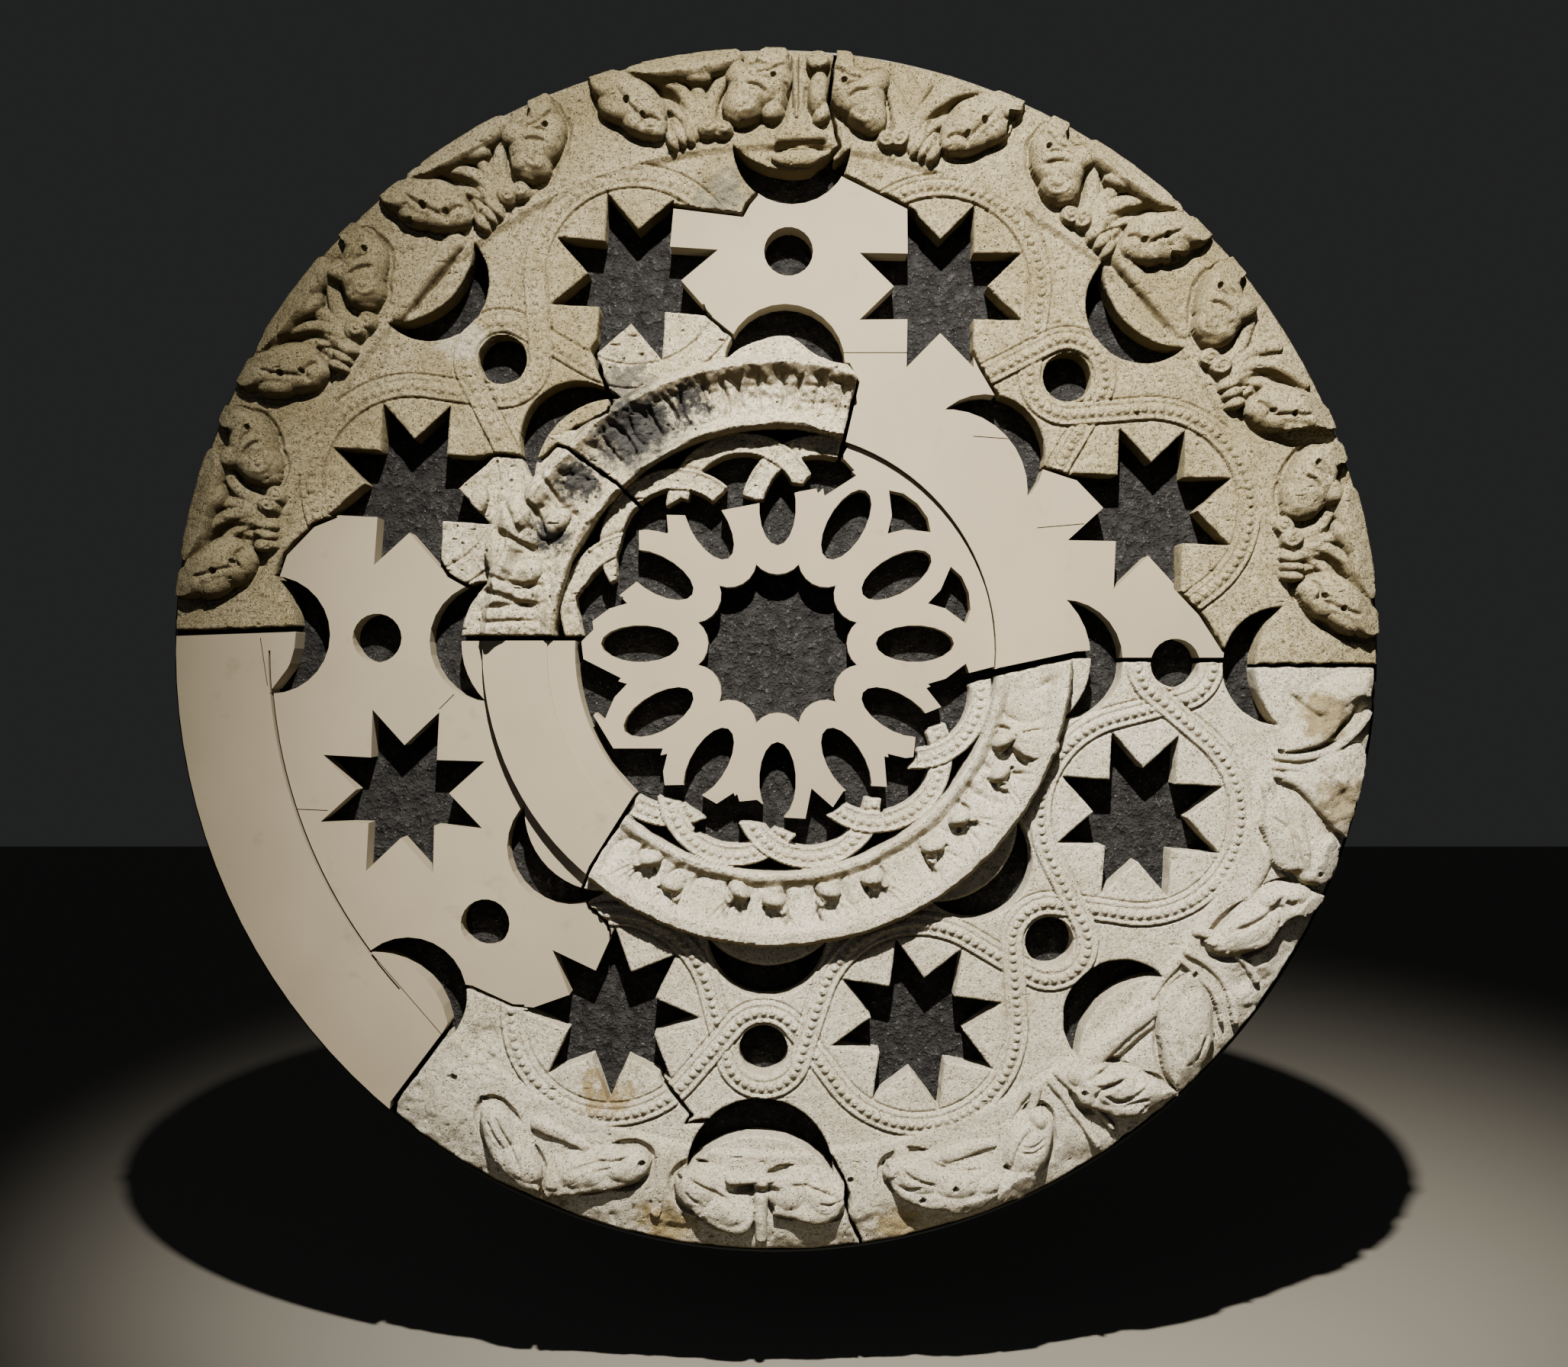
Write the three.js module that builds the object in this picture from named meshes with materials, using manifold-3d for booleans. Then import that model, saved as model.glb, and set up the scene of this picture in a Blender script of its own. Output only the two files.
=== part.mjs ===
// A round window of carved stone: six fragments of a granite tracery with a leaf border,
// completed by plain painted fill boards, all set on one dark round backing plate in a
// thin steel hoop. Millimetres. The window stands in the XZ plane and faces -Y, and its
// origin is the centre of the flat back face.

import * as THREE from 'three';
import { mergeVertices } from 'three/addons/utils/BufferGeometryUtils.js';
import Module from 'manifold-3d';

const wasm = await Module();
wasm.setup();

// Driving widths, laid out from the middle of the window outwards
const wheelRadius = 438;
const wheelRoom = 4;
const ringWidth = 138;
const traceryWidth = 423;
const borderWidth = 197;
const plateMargin = 7;
const ringInner = wheelRadius + wheelRoom;
const ringOuter = ringInner + ringWidth;
const borderInner = ringOuter + traceryWidth;
const windowRadius = borderInner + borderWidth;
const plateRadius = windowRadius + plateMargin;

// Backing
const plateThickness = 30;
const hoopThickness = 6;
const hoopDepth = 62;
const fitGap = 0.3;

// Levels, measured forward from the face of the backing plate
const traceryDepth = 80;
const strapRelief = 6;
const bandDepth = 68;
const wheelDepth = 62;
const leafRise = 46;
const borderDepth = traceryDepth + 8;
const hollowDepth = traceryDepth + 24;
const lipDepth = traceryDepth + 70;
const boardDepth = traceryDepth - 8;
const cornerBoardDepth = traceryDepth - 4;
const ringBoardDepth = traceryDepth + 20;
const ringStripDepth = ringBoardDepth - 6;
const borderBoardDepth = borderDepth - 4;

// The tracery repeats eight times, turned a little from the upright. Its stars and round
// holes lie on one circle, a little outside the middle of the tracery.
const bays = 8;
const traceryTurn = -1.8;
const motifOffset = 6.5;
const motifRadius = (ringOuter + borderInner) / 2 + motifOffset;
const starTip = 175;
const starNotch = 93;
const starPoints = 8;
const starTwists = [0, 1.6, -2.6, -1.6, -0.5, 22, -6.6, -1.9];
const roundHole = 49;

// Crescent openings, each between an outer arc and the edge of a disc
const innerArc = { distance: ringOuter - 7, radius: 120 };
const innerDisc = { distance: ringOuter - 114, radius: 163 };
const outerArc = { distance: borderInner + 7, radius: 118 };
const outerDisc = { distance: borderInner + 124, radius: 169 };
const wideArc = { distance: borderInner + 38, radius: 146 };
const wideDisc = { distance: borderInner + 157, radius: 190 };
const wideBay = 6;

// Beaded straps that run round the stars and the round holes
const strapWidth = 44;
const strapStarRadius = 200;
const strapHoleRadius = 76;

// Inner ring: a leaf frieze on the stone, with arc bands inside it
const bandCount = 12;
const bandRadius = 155;
const bandWidth = 44;
const bandDistance = ringInner + 3 - bandRadius;
const budCount = 36;
const budDistance = ringInner + 70;
const budLength = 44;
const budWidth = 36;
const budRise = 24;

// Border of leaves, started at the top on the left and a little past it on the right
const borderUnits = 16;
const leftStart = 90;
const rightStart = 85;

// Heads of one upper unit, each with its distance from the window's centre, its place
// along the unit and its lean in degrees, its length and its width
const upperHeads = [
  { distance: borderInner + 110, place: 2.6, lean: 70, length: 168, width: 104, rise: 1 },
  { distance: windowRadius - 42, place: 10.2, lean: 90, length: 176, width: 72, rise: 0.8 },
  { distance: borderInner + 99, place: 16.6, lean: -70, length: 178, width: 112, rise: 1 },
];
const upperStem = { distance: borderInner + 43, place: 9.2, length: 104, width: 44, rise: 0.6 };

// Worn leaves of the lower half, each followed by a low mass nearer the rim
const wornCount = 11;
const wornStart = -7.5;
const wornPitch = 11;
const wornLean = 26;
const wornLeaf = { distance: borderInner + 95, length: 186, width: 88, rise: 0.8 };
const wornMass = { distance: windowRadius - 42, length: 150, width: 60, rise: 0.45 };

// Leaf ridges and bars on the discs that stand in the outer crescents
const ridgeBays = [1, 3, 7];
const ridgeLeaf = { distance: borderInner + 42, length: 190, width: 46, rise: 0.6 };
const bar = { length: 112, width: 24 };
const barDistances = { 2: borderInner - 11, 6: borderInner + 19 };

// Fill wheel
const wheelCentre = [3, 14];
const petalCount = 12;
const petalInner = 197;
const petalOuter = wheelRadius - 84;
const petalHalfWidth = 37;
const petalSides = 18;
const lobeDistance = petalInner - 2;
const lobeRadius = 56;
const lobeSweep = 52;
const spandrelOuter = wheelRadius - 41;
const spandrelLength = 85;

// Ring board on the left
const ringBoardInner = ringInner - 42;
const ringBoardStep = ringInner + 13;
const ringBoardRoom = 3;

const plateFace = plateThickness + fitGap;
const beyond = windowRadius + 60;
const seamWidth = 2;
const seamDepth = 5;
const through = [0, 260];
const throughDisc = [-1, 261];
const boardSides = 28;
const stoneSides = 20;
const friezeSides = 40;
const lobeSides = 6;

const radians = (degrees) => (degrees * Math.PI) / 180;
const polar = (distance, degrees, centre = [0, 0]) => [
  centre[0] + distance * Math.cos(radians(degrees)),
  centre[1] + distance * Math.sin(radians(degrees)),
];
const bayAngle = (bay) => (360 / bays) * bay + traceryTurn;
const starAngle = (bay) => bayAngle(bay + 0.5);

// Points on an arc round a centre, both ends included
function arc(centre, radius, from, to, steps) {
  const points = [];
  for (let i = 0; i <= steps; i += 1) {
    points.push(polar(radius, from + ((to - from) * i) / steps, centre));
  }
  return points;
}

const circle = (centre, radius, steps) => arc(centre, radius, 0, 360, steps).slice(0, -1);

// A three.js geometry as a solid that can be joined and cut
function solid(geometry) {
  const bare = geometry.index ? geometry.toNonIndexed() : geometry.clone();
  bare.deleteAttribute('normal');
  bare.deleteAttribute('uv');
  const merged = mergeVertices(bare, 1e-4);
  const vertProperties = new Float32Array(merged.attributes.position.array);
  const triVerts = new Uint32Array(merged.index.array);
  return new wasm.Manifold(new wasm.Mesh({ numProp: 3, vertProperties, triVerts }));
}

// A straight block with the given outline, from one level to another
function prism(outline, low, high, holes = []) {
  const shape = new THREE.Shape(outline.map(([x, y]) => new THREE.Vector2(x, y)));
  for (const hole of holes) {
    shape.holes.push(new THREE.Path(hole.map(([x, y]) => new THREE.Vector2(x, y))));
  }
  const geometry = new THREE.ExtrudeGeometry(shape, { depth: high - low, bevelEnabled: false });
  geometry.translate(0, 0, low);
  return solid(geometry);
}

const joinAll = (parts) => parts.reduce((whole, part) => whole.add(part));

// An oval dome, its long axis turned to the given angle, half sunk at a level
function dome(centre, angle, length, width, level, height, sides = 8) {
  const geometry = new THREE.SphereGeometry(1, sides, sides > 6 ? 4 : 3);
  geometry.rotateX(Math.PI / 2);
  geometry.rotateZ(Math.PI / sides);
  geometry.scale(length / 2, width / 2, height);
  geometry.rotateZ(radians(angle));
  geometry.translate(centre[0], centre[1], level);
  return solid(geometry);
}

// Openings of the tracery
function starOutline(bay) {
  const centre = polar(motifRadius, starAngle(bay));
  const step = 180 / starPoints;
  const turn = starAngle(bay) + starTwists[bay];
  return Array.from({ length: 2 * starPoints }, (_, i) =>
    polar(i % 2 ? starNotch : starTip, turn + i * step, centre));
}

function crescent(bay, arcSize, discSize, steps) {
  const angle = bayAngle(bay);
  const lens = prism(circle(polar(arcSize.distance, angle), arcSize.radius, steps), ...through);
  const disc = prism(circle(polar(discSize.distance, angle), discSize.radius, steps + 6), ...throughDisc);
  return lens.subtract(disc);
}

// Sawn boards have smooth round openings, and the hewn stone takes fewer sides
function traceryOpenings(steps) {
  const openings = [];
  for (let bay = 0; bay < bays; bay += 1) {
    const wide = bay === wideBay;
    openings.push(prism(starOutline(bay), ...through));
    openings.push(prism(circle(polar(motifRadius, bayAngle(bay)), roundHole, steps - 6), ...through));
    openings.push(crescent(bay, innerArc, innerDisc, steps));
    openings.push(crescent(bay, wide ? wideArc : outerArc, wide ? wideDisc : outerDisc, steps));
  }
  return joinAll(openings);
}

// A strap winds round the stars on one side and the round holes on the other. Straight
// stretches join the arcs along their common inner tangents.
function strapPath(side) {
  const middle = [];
  const gap = 2 * motifRadius * Math.sin(radians(180 / bays / 2));
  const spread = (Math.acos((strapStarRadius + strapHoleRadius) / gap) * 180) / Math.PI;
  const toward = 90 + 90 / bays;
  const outerSweep = toward - spread;
  const innerSweep = 180 - toward - spread;
  for (let bay = 0; bay < bays; bay += 1) {
    const hole = polar(motifRadius, bayAngle(bay));
    const star = polar(motifRadius, starAngle(bay));
    const holeOut = bayAngle(bay) + (side > 0 ? 0 : 180);
    const starOut = starAngle(bay) + (side > 0 ? 180 : 0);
    const holeSweep = side > 0 ? outerSweep : -innerSweep;
    const starSweep = side > 0 ? -innerSweep : outerSweep;
    middle.push(...arc(hole, strapHoleRadius, holeOut - holeSweep, holeOut + holeSweep, 5));
    middle.push(...arc(star, strapStarRadius, starOut - starSweep, starOut + starSweep, 7));
  }
  return middle;
}

// A closed path moved sideways by a distance, to its right where that is positive
function offsetPath(path, distance) {
  return path.map((point, i) => {
    const before = path[(i + path.length - 1) % path.length];
    const after = path[(i + 1) % path.length];
    const along = [after[0] - before[0], after[1] - before[1]];
    const length = Math.hypot(along[0], along[1]);
    return [point[0] + (along[1] / length) * distance, point[1] - (along[0] / length) * distance];
  });
}

function strap(side, low, high) {
  const path = strapPath(side);
  const outer = offsetPath(path, strapWidth / 2);
  const inner = offsetPath(path, -strapWidth / 2);
  return prism(outer, low, high, [inner]);
}

// Leaf heads of the border. The upper half has three heads in each unit, drawn together
// at a ringed stem, and the mirrored right quarter runs the other way.
function upperLeaves(start, direction) {
  const pitch = 360 / borderUnits;
  const ground = plateThickness + borderDepth;
  const leaves = [];
  for (let unit = 0; unit < borderUnits / 4; unit += 1) {
    const at = (place) => start + direction * (unit * pitch + place);
    for (const head of upperHeads) {
      const angle = at(head.lean);
      leaves.push(dome(polar(head.distance, at(head.place)), angle, head.length, head.width, ground,
        leafRise * head.rise));
    }
    leaves.push(dome(polar(upperStem.distance, at(upperStem.place)), at(0), upperStem.length,
      upperStem.width, ground, leafRise * upperStem.rise, 6));
  }
  return leaves;
}

// The lower half has worn leaves that lean to either side in turn
function lowerLeaves() {
  const ground = plateThickness + borderDepth;
  const leaves = [];
  for (let leaf = 0; leaf < wornCount; leaf += 1) {
    const angle = wornStart - wornPitch * leaf;
    const lean = leaf % 2 ? 90 - wornLean : 90 + wornLean;
    leaves.push(dome(polar(wornLeaf.distance, angle), angle + lean, wornLeaf.length, wornLeaf.width,
      ground, leafRise * wornLeaf.rise));
    leaves.push(dome(polar(wornMass.distance, angle - wornPitch / 2), angle + 90, wornMass.length,
      wornMass.width, ground, leafRise * wornMass.rise, 6));
  }
  return leaves;
}

// Ridge leaves on the discs of the diagonal bays, a bar on the top and bottom ones
function discLeaves() {
  const level = plateThickness + borderDepth;
  const ridges = ridgeBays.map((bay) =>
    dome(polar(ridgeLeaf.distance, bayAngle(bay)), bayAngle(bay), ridgeLeaf.length, ridgeLeaf.width,
      level, leafRise * ridgeLeaf.rise, 6));
  const bars = Object.entries(barDistances).map(([bay, distance]) => {
    const block = new THREE.BoxGeometry(bar.width, bar.length, leafRise);
    block.rotateZ(radians(bayAngle(Number(bay))));
    const [x, y] = polar(distance, bayAngle(Number(bay)));
    block.translate(x, y, level);
    return solid(block);
  });
  return [...ridges, ...bars];
}

// A ring turned from a closed profile of distance and level pairs, given from its
// inner foot outwards
function turnedRing(profile, steps) {
  const closed = [...profile, profile[0]].map(([r, z]) => new THREE.Vector2(r, z));
  const geometry = new THREE.LatheGeometry(closed, steps);
  geometry.rotateX(Math.PI / 2);
  return solid(geometry);
}

// The frieze flares forward to a heavy outer lip over a hollow that holds a row of buds
function frieze() {
  const ring = turnedRing([
    [ringInner, plateFace],
    [ringOuter - 22, plateFace],
    [ringOuter - 12, plateThickness + traceryDepth],
    [ringOuter + 4, plateThickness + lipDepth - 18],
    [ringOuter - 6, plateThickness + lipDepth],
    [ringOuter - 30, plateThickness + lipDepth - 4],
    [ringInner + 62, plateThickness + hollowDepth],
    [ringInner + 24, plateThickness + hollowDepth - 10],
    [ringInner, plateThickness + hollowDepth - 8],
  ], friezeSides);
  const buds = Array.from({ length: budCount }, (_, i) => {
    const angle = (360 / budCount) * i + 4;
    return dome(polar(budDistance, angle), angle, budLength, budWidth, plateThickness + hollowDepth + 4,
      budRise, 4);
  });
  return joinAll([ring, ...buds]);
}

function arcBands() {
  const top = plateThickness + bandDepth;
  const bands = Array.from({ length: bandCount }, (_, i) => {
    const centre = polar(bandDistance, (360 / bandCount) * (i + 0.5) + traceryTurn);
    return prism(circle(centre, bandRadius, 16), plateFace, top, [circle(centre, bandRadius - bandWidth, 12)]);
  });
  return joinAll(bands);
}

// The whole stone pattern, from which each fragment is one broken portion
function stonePattern() {
  const slabTop = plateThickness + traceryDepth;
  const rim = circle([0, 0], windowRadius, 80);
  const slab = prism(rim, plateFace, slabTop, [circle([0, 0], ringInner + 6, 40)]);
  const border = prism(rim, slabTop - 10, plateThickness + borderDepth, [circle([0, 0], borderInner, 48)]);
  const straps = [-1, 1].map((side) => strap(side, slabTop - 4, slabTop + strapRelief));
  const upper = [...upperLeaves(leftStart, 1), ...upperLeaves(rightStart, -1)];
  const leaves = [...upper, ...lowerLeaves(), ...discLeaves()];
  const carved = joinAll([slab, border, ...straps, ...leaves]).subtract(traceryOpenings(stoneSides));
  return joinAll([carved, frieze(), arcBands()]).intersect(prism(rim, plateFace, through[1]));
}

// The flat boards repeat the openings on one level
function boardPattern(depth) {
  const top = plateThickness + depth;
  const rim = circle([0, 0], windowRadius - 4, 120);
  return prism(rim, plateFace, top, [circle([0, 0], wheelRadius + 2, 96)]).subtract(traceryOpenings(boardSides));
}

// Points of the breaks are given as measured, with the circles of the window at these
// radii, and each point is carried along with the circles on either side of it
const measuredRadii = [0, 442, 580, 798, 1003, 1200];
const presentRadii = [0, ringInner, ringOuter, motifRadius, borderInner, windowRadius];

function carried([x, y]) {
  const measured = Math.hypot(x, y);
  const zone = measuredRadii.findLastIndex((radius) => radius <= measured);
  const last = zone === measuredRadii.length - 1;
  const stretch = last ? 1
    : (presentRadii[zone + 1] - presentRadii[zone]) / (measuredRadii[zone + 1] - measuredRadii[zone]);
  const present = presentRadii[zone] + (measured - measuredRadii[zone]) * stretch;
  return [(x / measured) * present, (y / measured) * present];
}

const carriedRuns = (runs) =>
  Object.fromEntries(Object.entries(runs).map(([name, points]) => [name, points.map(carried)]));
const at = (x, y) => carried([x, y]);

// Joints between the pieces, as they run across the solid parts from opening to opening
const joints = carriedRuns({
  top: [[117, 1260], [117, 1180], [105, 1092], [128, 1005]],
  topBreak: [[-40, 912], [-56, 893], [-68, 871], [-206, 888]],
  leftTop: [[-366, 600], [-361, 588], [-328, 493], [-332, 470]],
  leftRing: [[-470, 380], [-498, 385], [-560, 391], [-600, 384]],
  leftCorner: [[-880, 268], [-925, 250], [-981, 192], [-995, 150]],
  leftBorder: [[-940, 46], [-975, 44], [-1260, 34]],
  ringSplit: [[-250, 284], [-274, 291], [-317, 332], [-422, 405], [-470, 428]],
  lowerTooth: [[-668, 170], [-655, 150], [-612, 126], [-600, 110]],
  ringFoot: [[-380, 25], [-640, 25]],
  fillTop: [[-146, 690], [-140, 672], [-87, 629], [-76, 610]],
  ringEnd: [[110, 575], [145, 571], [163, 536], [134, 411], [128, 385]],
  rightTop: [[118, 958], [140, 946], [263, 885], [280, 870]],
  rightTooth: [[396, 590], [407, 566], [440, 510], [445, 480]],
  rightArch: [[500, 375], [527, 367], [584, 348], [610, 340]],
  rightCorner: [[798, 140], [798, 125], [847, 73], [894, 0], [920, -15]],
  rightBorder: [[930, -30], [1260, -30]],
  levelBed: [[905, -20], [670, -20]],
  wheelBed: [[625, -10], [600, -12], [449, -44], [383, -66]],
  bottom: [[190, -1260], [168, -1180], [142, -1122], [139, -1063], [106, -1006]],
  lowerStar: [[-180, -945], [-169, -929], [-225, -856], [-236, -830]],
  cornerJoint: [[-505, -712], [-527, -711], [-608, -674], [-632, -670]],
  borderEnd: [[-646, -742], [-660, -765], [-763, -902], [-800, -1260]],
  upperStar: [[-334, -560], [-338, -543], [-387, -499], [-398, -488]],
  ringTip: [[-390, -484], [-368, -431], [-280, -291], [-270, -280]],
});

const back = (joint) => [...joint].reverse();

// Broken inner ends of the arc bands on the stone fragments
const lowerStubs = [
  [-183, -302], [-125, -342], [-160, -362], [-85, -345], [-66, -338], [-3, -350], [44, -366],
  [70, -340], [112, -322], [134, -306], [181, -292], [213, -294], [212, -325], [235, -260],
  [280, -215], [277, -200], [305, -151], [345, -135], [350, -165], [370, -120],
].map(carried);
const upperStubs = [
  [110, 374], [85, 370], [55, 330], [3, 335], [10, 300], [-40, 298], [-80, 312], [-80, 340],
  [-105, 312], [-140, 285], [-190, 300], [-216, 284],
].map(carried);
const leftStubs = [
  [-390, 60], [-398, 106], [-362, 150], [-348, 120], [-318, 140], [-316, 190], [-300, 240],
].map(carried);

const starCentre = (bay) => polar(motifRadius, starAngle(bay));
const crescentGap = { inner: ringOuter + 75, outer: borderInner - 78 };
const inCrescent = (ring, bay) => polar(crescentGap[ring], bayAngle(bay));
const ringArc = (radius, from, to, steps) => arc([0, 0], radius, from, to, steps);

// The left border board meets the tracery board between the horns of two crescents
const horn = outerArc.distance;
const hornArc = ringArc(horn, bayAngle(5) - 6.7, bayAngle(4) + 6.3, 16);
const boardRoom = 9;

// Outlines of the pieces, counter-clockwise, joint by joint
const outlines = {
  granite_upper_left: [
    ...joints.top, inCrescent('outer', 2), ...joints.topBreak, starCentre(2), ...joints.leftTop,
    at(-400, 445), ...joints.leftRing, starCentre(3), ...joints.leftCorner, at(-930, 100),
    ...joints.leftBorder, [-beyond, beyond],
  ],
  granite_upper_right: [
    joints.top[0], [beyond, beyond], ...back(joints.rightBorder), inCrescent('outer', 0),
    ...back(joints.rightCorner), starCentre(0), ...back(joints.rightArch), inCrescent('inner', 1),
    ...back(joints.rightTooth), starCentre(1), ...back(joints.rightTop), at(110, 985),
    ...back(joints.top).slice(0, -1),
  ],
  granite_lower_right: [
    ...back(joints.rightBorder), ...joints.levelBed, at(640, -16), ...joints.wheelBed,
    ...back(lowerStubs), ...back(joints.ringTip), ...back(joints.upperStar), starCentre(5),
    ...back(joints.lowerStar), inCrescent('outer', 6), ...back(joints.bottom), [beyond, -beyond],
  ],
  granite_bottom: [
    ...joints.bottom, inCrescent('outer', 6), ...joints.lowerStar, starCentre(5),
    ...joints.cornerJoint, inCrescent('outer', 5), ...joints.borderEnd,
  ],
  granite_ring_left: [
    ...joints.ringSplit, at(-440, 410), ...joints.leftRing, starCentre(3), ...joints.lowerTooth,
    at(-640, 60), ...back(joints.ringFoot), ...leftStubs,
  ],
  granite_ring_top: [
    ...joints.ringEnd, ...upperStubs, ...joints.ringSplit, at(-400, 445), ...back(joints.leftTop),
    starCentre(2), ...joints.fillTop, at(18, 640),
  ],
};

const boardOutlines = {
  fill_upper_right: [
    ...joints.topBreak, starCentre(2), ...joints.fillTop, at(18, 650), ...joints.ringEnd.slice(0, -1),
    ...ringArc(wheelRadius - 18, 70, -5.5, 4), ...back(joints.wheelBed).slice(1), at(640, -16),
    ...back(joints.levelBed), inCrescent('outer', 0), ...back(joints.rightCorner), starCentre(0),
    ...back(joints.rightArch), inCrescent('inner', 1), ...back(joints.rightTooth), starCentre(1),
    ...back(joints.rightTop), inCrescent('outer', 2),
  ],
  fill_left_tracery: [
    ...joints.lowerTooth, at(-640, 30), ...ringArc(ringOuter + boardRoom, 182, 200, 3),
    ...ringArc(ringOuter + boardRoom, 208, 223, 3), at(-430, -440), ...back(joints.upperStar),
    starCentre(5), ...joints.cornerJoint, inCrescent('outer', 5), ...hornArc, inCrescent('outer', 4),
    ...back(joints.leftCorner), starCentre(3),
  ],
  fill_left_border: [
    ...joints.leftBorder, [-beyond, -beyond], ...back(joints.borderEnd), inCrescent('outer', 5),
    ...hornArc, inCrescent('outer', 4),
  ],
  fill_left_ring: [
    ...back(joints.ringTip), at(-420, -500), at(-640, -300), at(-700, 0), ...back(joints.ringFoot),
    ...ringArc(ringBoardInner - 30, bayAngle(4) - 2.2, bayAngle(5) + 2.8, 6),
  ],
};

// A cut of the given width along a run of points, right through the thickness
function kerf(points, width, low, high) {
  const cuts = points.slice(1).map((end, i) => {
    const start = points[i];
    const length = Math.hypot(end[0] - start[0], end[1] - start[1]) + width * 0.5;
    const box = new THREE.BoxGeometry(length, width, high - low);
    box.rotateZ(Math.atan2(end[1] - start[1], end[0] - start[0]));
    box.translate((start[0] + end[0]) / 2, (start[1] + end[1]) / 2, (low + high) / 2);
    return solid(box);
  });
  return joinAll(cuts);
}

const jointWidths = {
  top: 9, topBreak: 10, leftTop: 6, leftRing: 6, leftCorner: 7, leftBorder: 15, ringSplit: 6,
  lowerTooth: 7, ringFoot: 12, fillTop: 8, ringEnd: 8, rightTop: 6, rightTooth: 6, rightArch: 6,
  rightCorner: 7, rightBorder: 8, levelBed: 12, wheelBed: 20, bottom: 6, lowerStar: 5,
  cornerJoint: 8, borderEnd: 12, upperStar: 6, ringTip: 8,
};

const allJoints = joinAll(Object.entries(joints).map(([name, points]) =>
  kerf(points, jointWidths[name], ...through)));
const seamArc = (radius) => ringArc(radius, bayAngle(4) + 1.8, bayAngle(5) - 1.2, 24);
const borderSeam = prism([...seamArc(horn + seamWidth), ...back(seamArc(horn - seamWidth))], ...through);

// Only the largest body of a cut is the piece, and crumbs left at its edge fall away
function mainBody(shape) {
  return shape.decompose().reduce((best, body) => (body.volume() > best.volume() ? body : best));
}

const fragment = (pattern, outline) =>
  mainBody(pattern.intersect(prism(outline, ...through)).subtract(allJoints).subtract(borderSeam));

// Hairline seams where the fill boards are glued up
const seams = {
  fill_upper_right: [
    [[134, 595], [265, 595]], [[198, 248], [326, 257]], [[522, 245], [615, 253]], [[394, 428], [464, 423]],
  ],
  fill_left_tracery: [[[-970, -317], [-897, -320]], [[-673, -117], [-644, -88]]],
  fill_left_border: [[[-1028, 24], [-1014, -70]], [[-813, -597], [-667, -766]]],
};

function seamed(name, board, depth) {
  const face = plateThickness + depth;
  return (seams[name] ?? []).reduce(
    (whole, seam) => whole.subtract(kerf(seam.map(carried), seamWidth, face - seamDepth, face + seamDepth)),
    board);
}

// Fill wheel with petals, corner openings and a scalloped eye
const petalAngle = (petal) => (360 / petalCount) * petal;

function petalOutline(petal) {
  const middle = (petalInner + petalOuter) / 2;
  const halfLength = (petalOuter - petalInner) / 2;
  const across = radians(petalAngle(petal) + 90);
  return Array.from({ length: petalSides }, (_, i) => {
    const turn = (2 * Math.PI * i) / petalSides;
    const [x, y] = polar(middle + halfLength * Math.cos(turn), petalAngle(petal), wheelCentre);
    const aside = petalHalfWidth * Math.sin(turn);
    return [x + aside * Math.cos(across), y + aside * Math.sin(across)];
  });
}

function spandrelOutline(petal) {
  const middle = petalAngle(petal + 0.5);
  const spot = (distance, offset) => polar(distance, middle + offset, wheelCentre);
  return [
    spot(spandrelOuter - spandrelLength, 0), spot(spandrelOuter - 53, -3.2), spot(spandrelOuter - 17, -9),
    spot(spandrelOuter - 4, -5), spot(spandrelOuter, 0), spot(spandrelOuter - 4, 5),
    spot(spandrelOuter - 17, 9), spot(spandrelOuter - 53, 3.2),
  ];
}

function eyeOutline() {
  const points = [];
  for (let lobe = 0; lobe < petalCount; lobe += 1) {
    const centre = polar(lobeDistance, petalAngle(lobe), wheelCentre);
    const inward = petalAngle(lobe) + 180;
    points.push(...arc(centre, lobeRadius, inward + lobeSweep, inward - lobeSweep, lobeSides));
  }
  return points;
}

// Outer edge of the wheel: whole against the corner board, sawn or broken off elsewhere
const wheelEdge = [
  [129, 382], [161, 351], [97, 310], [94, 327], [47, 319], [-26, 297], [-105, 282], [-169, 271],
  [-219, 272], [-216, 236], [-275, 245], [-273, 143], [-314, 111], [-305, 106], [-369, 74],
  [-366, 42], [-390, 18], [-386, -17], [-311, -55], [-366, -130], [-326, -196], [-227, -196],
  [-238, -232], [-232, -270], [-186, -269], [-157, -285], [-119, -307], [-85, -285], [-78, -303],
  [-38, -299], [6, -334], [59, -337], [71, -276], [114, -314], [135, -282], [174, -270],
  [222, -273], [217, -212], [274, -224], [279, -179], [284, -132], [331, -113], [301, -75],
  [382, -46],
].map(carried);

function fillWheel() {
  const top = plateThickness + wheelDepth;
  const edge = [...ringArc(wheelRadius, -4.2, 70.5, 20), ...wheelEdge];
  let wheel = prism(edge, plateFace, top, [eyeOutline()]);
  for (let petal = 0; petal < petalCount; petal += 1) {
    wheel = wheel.subtract(prism(petalOutline(petal), ...through));
    wheel = wheel.subtract(prism(spandrelOutline(petal), ...through));
  }
  return mainBody(wheel);
}

// The ring board stands forward of the tracery boards, on the discs of two crescents
function ringBoardPattern() {
  const outer = circle([0, 0], ringOuter + ringBoardRoom, 96);
  const board = prism(outer, plateFace, plateThickness + ringBoardDepth, [circle([0, 0], ringBoardStep, 96)]);
  const strip = prism(circle([0, 0], ringBoardStep + 2, 96), plateFace, plateThickness + ringStripDepth,
    [circle([0, 0], ringBoardInner, 96)]);
  const discs = [4, 5].map((bay) =>
    prism(circle(polar(innerDisc.distance, bayAngle(bay)), innerDisc.radius, 48), plateFace,
      plateThickness + boardDepth).subtract(prism(circle([0, 0], ringBoardStep, 48), ...through)));
  return joinAll([board, strip, ...discs]);
}

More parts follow.
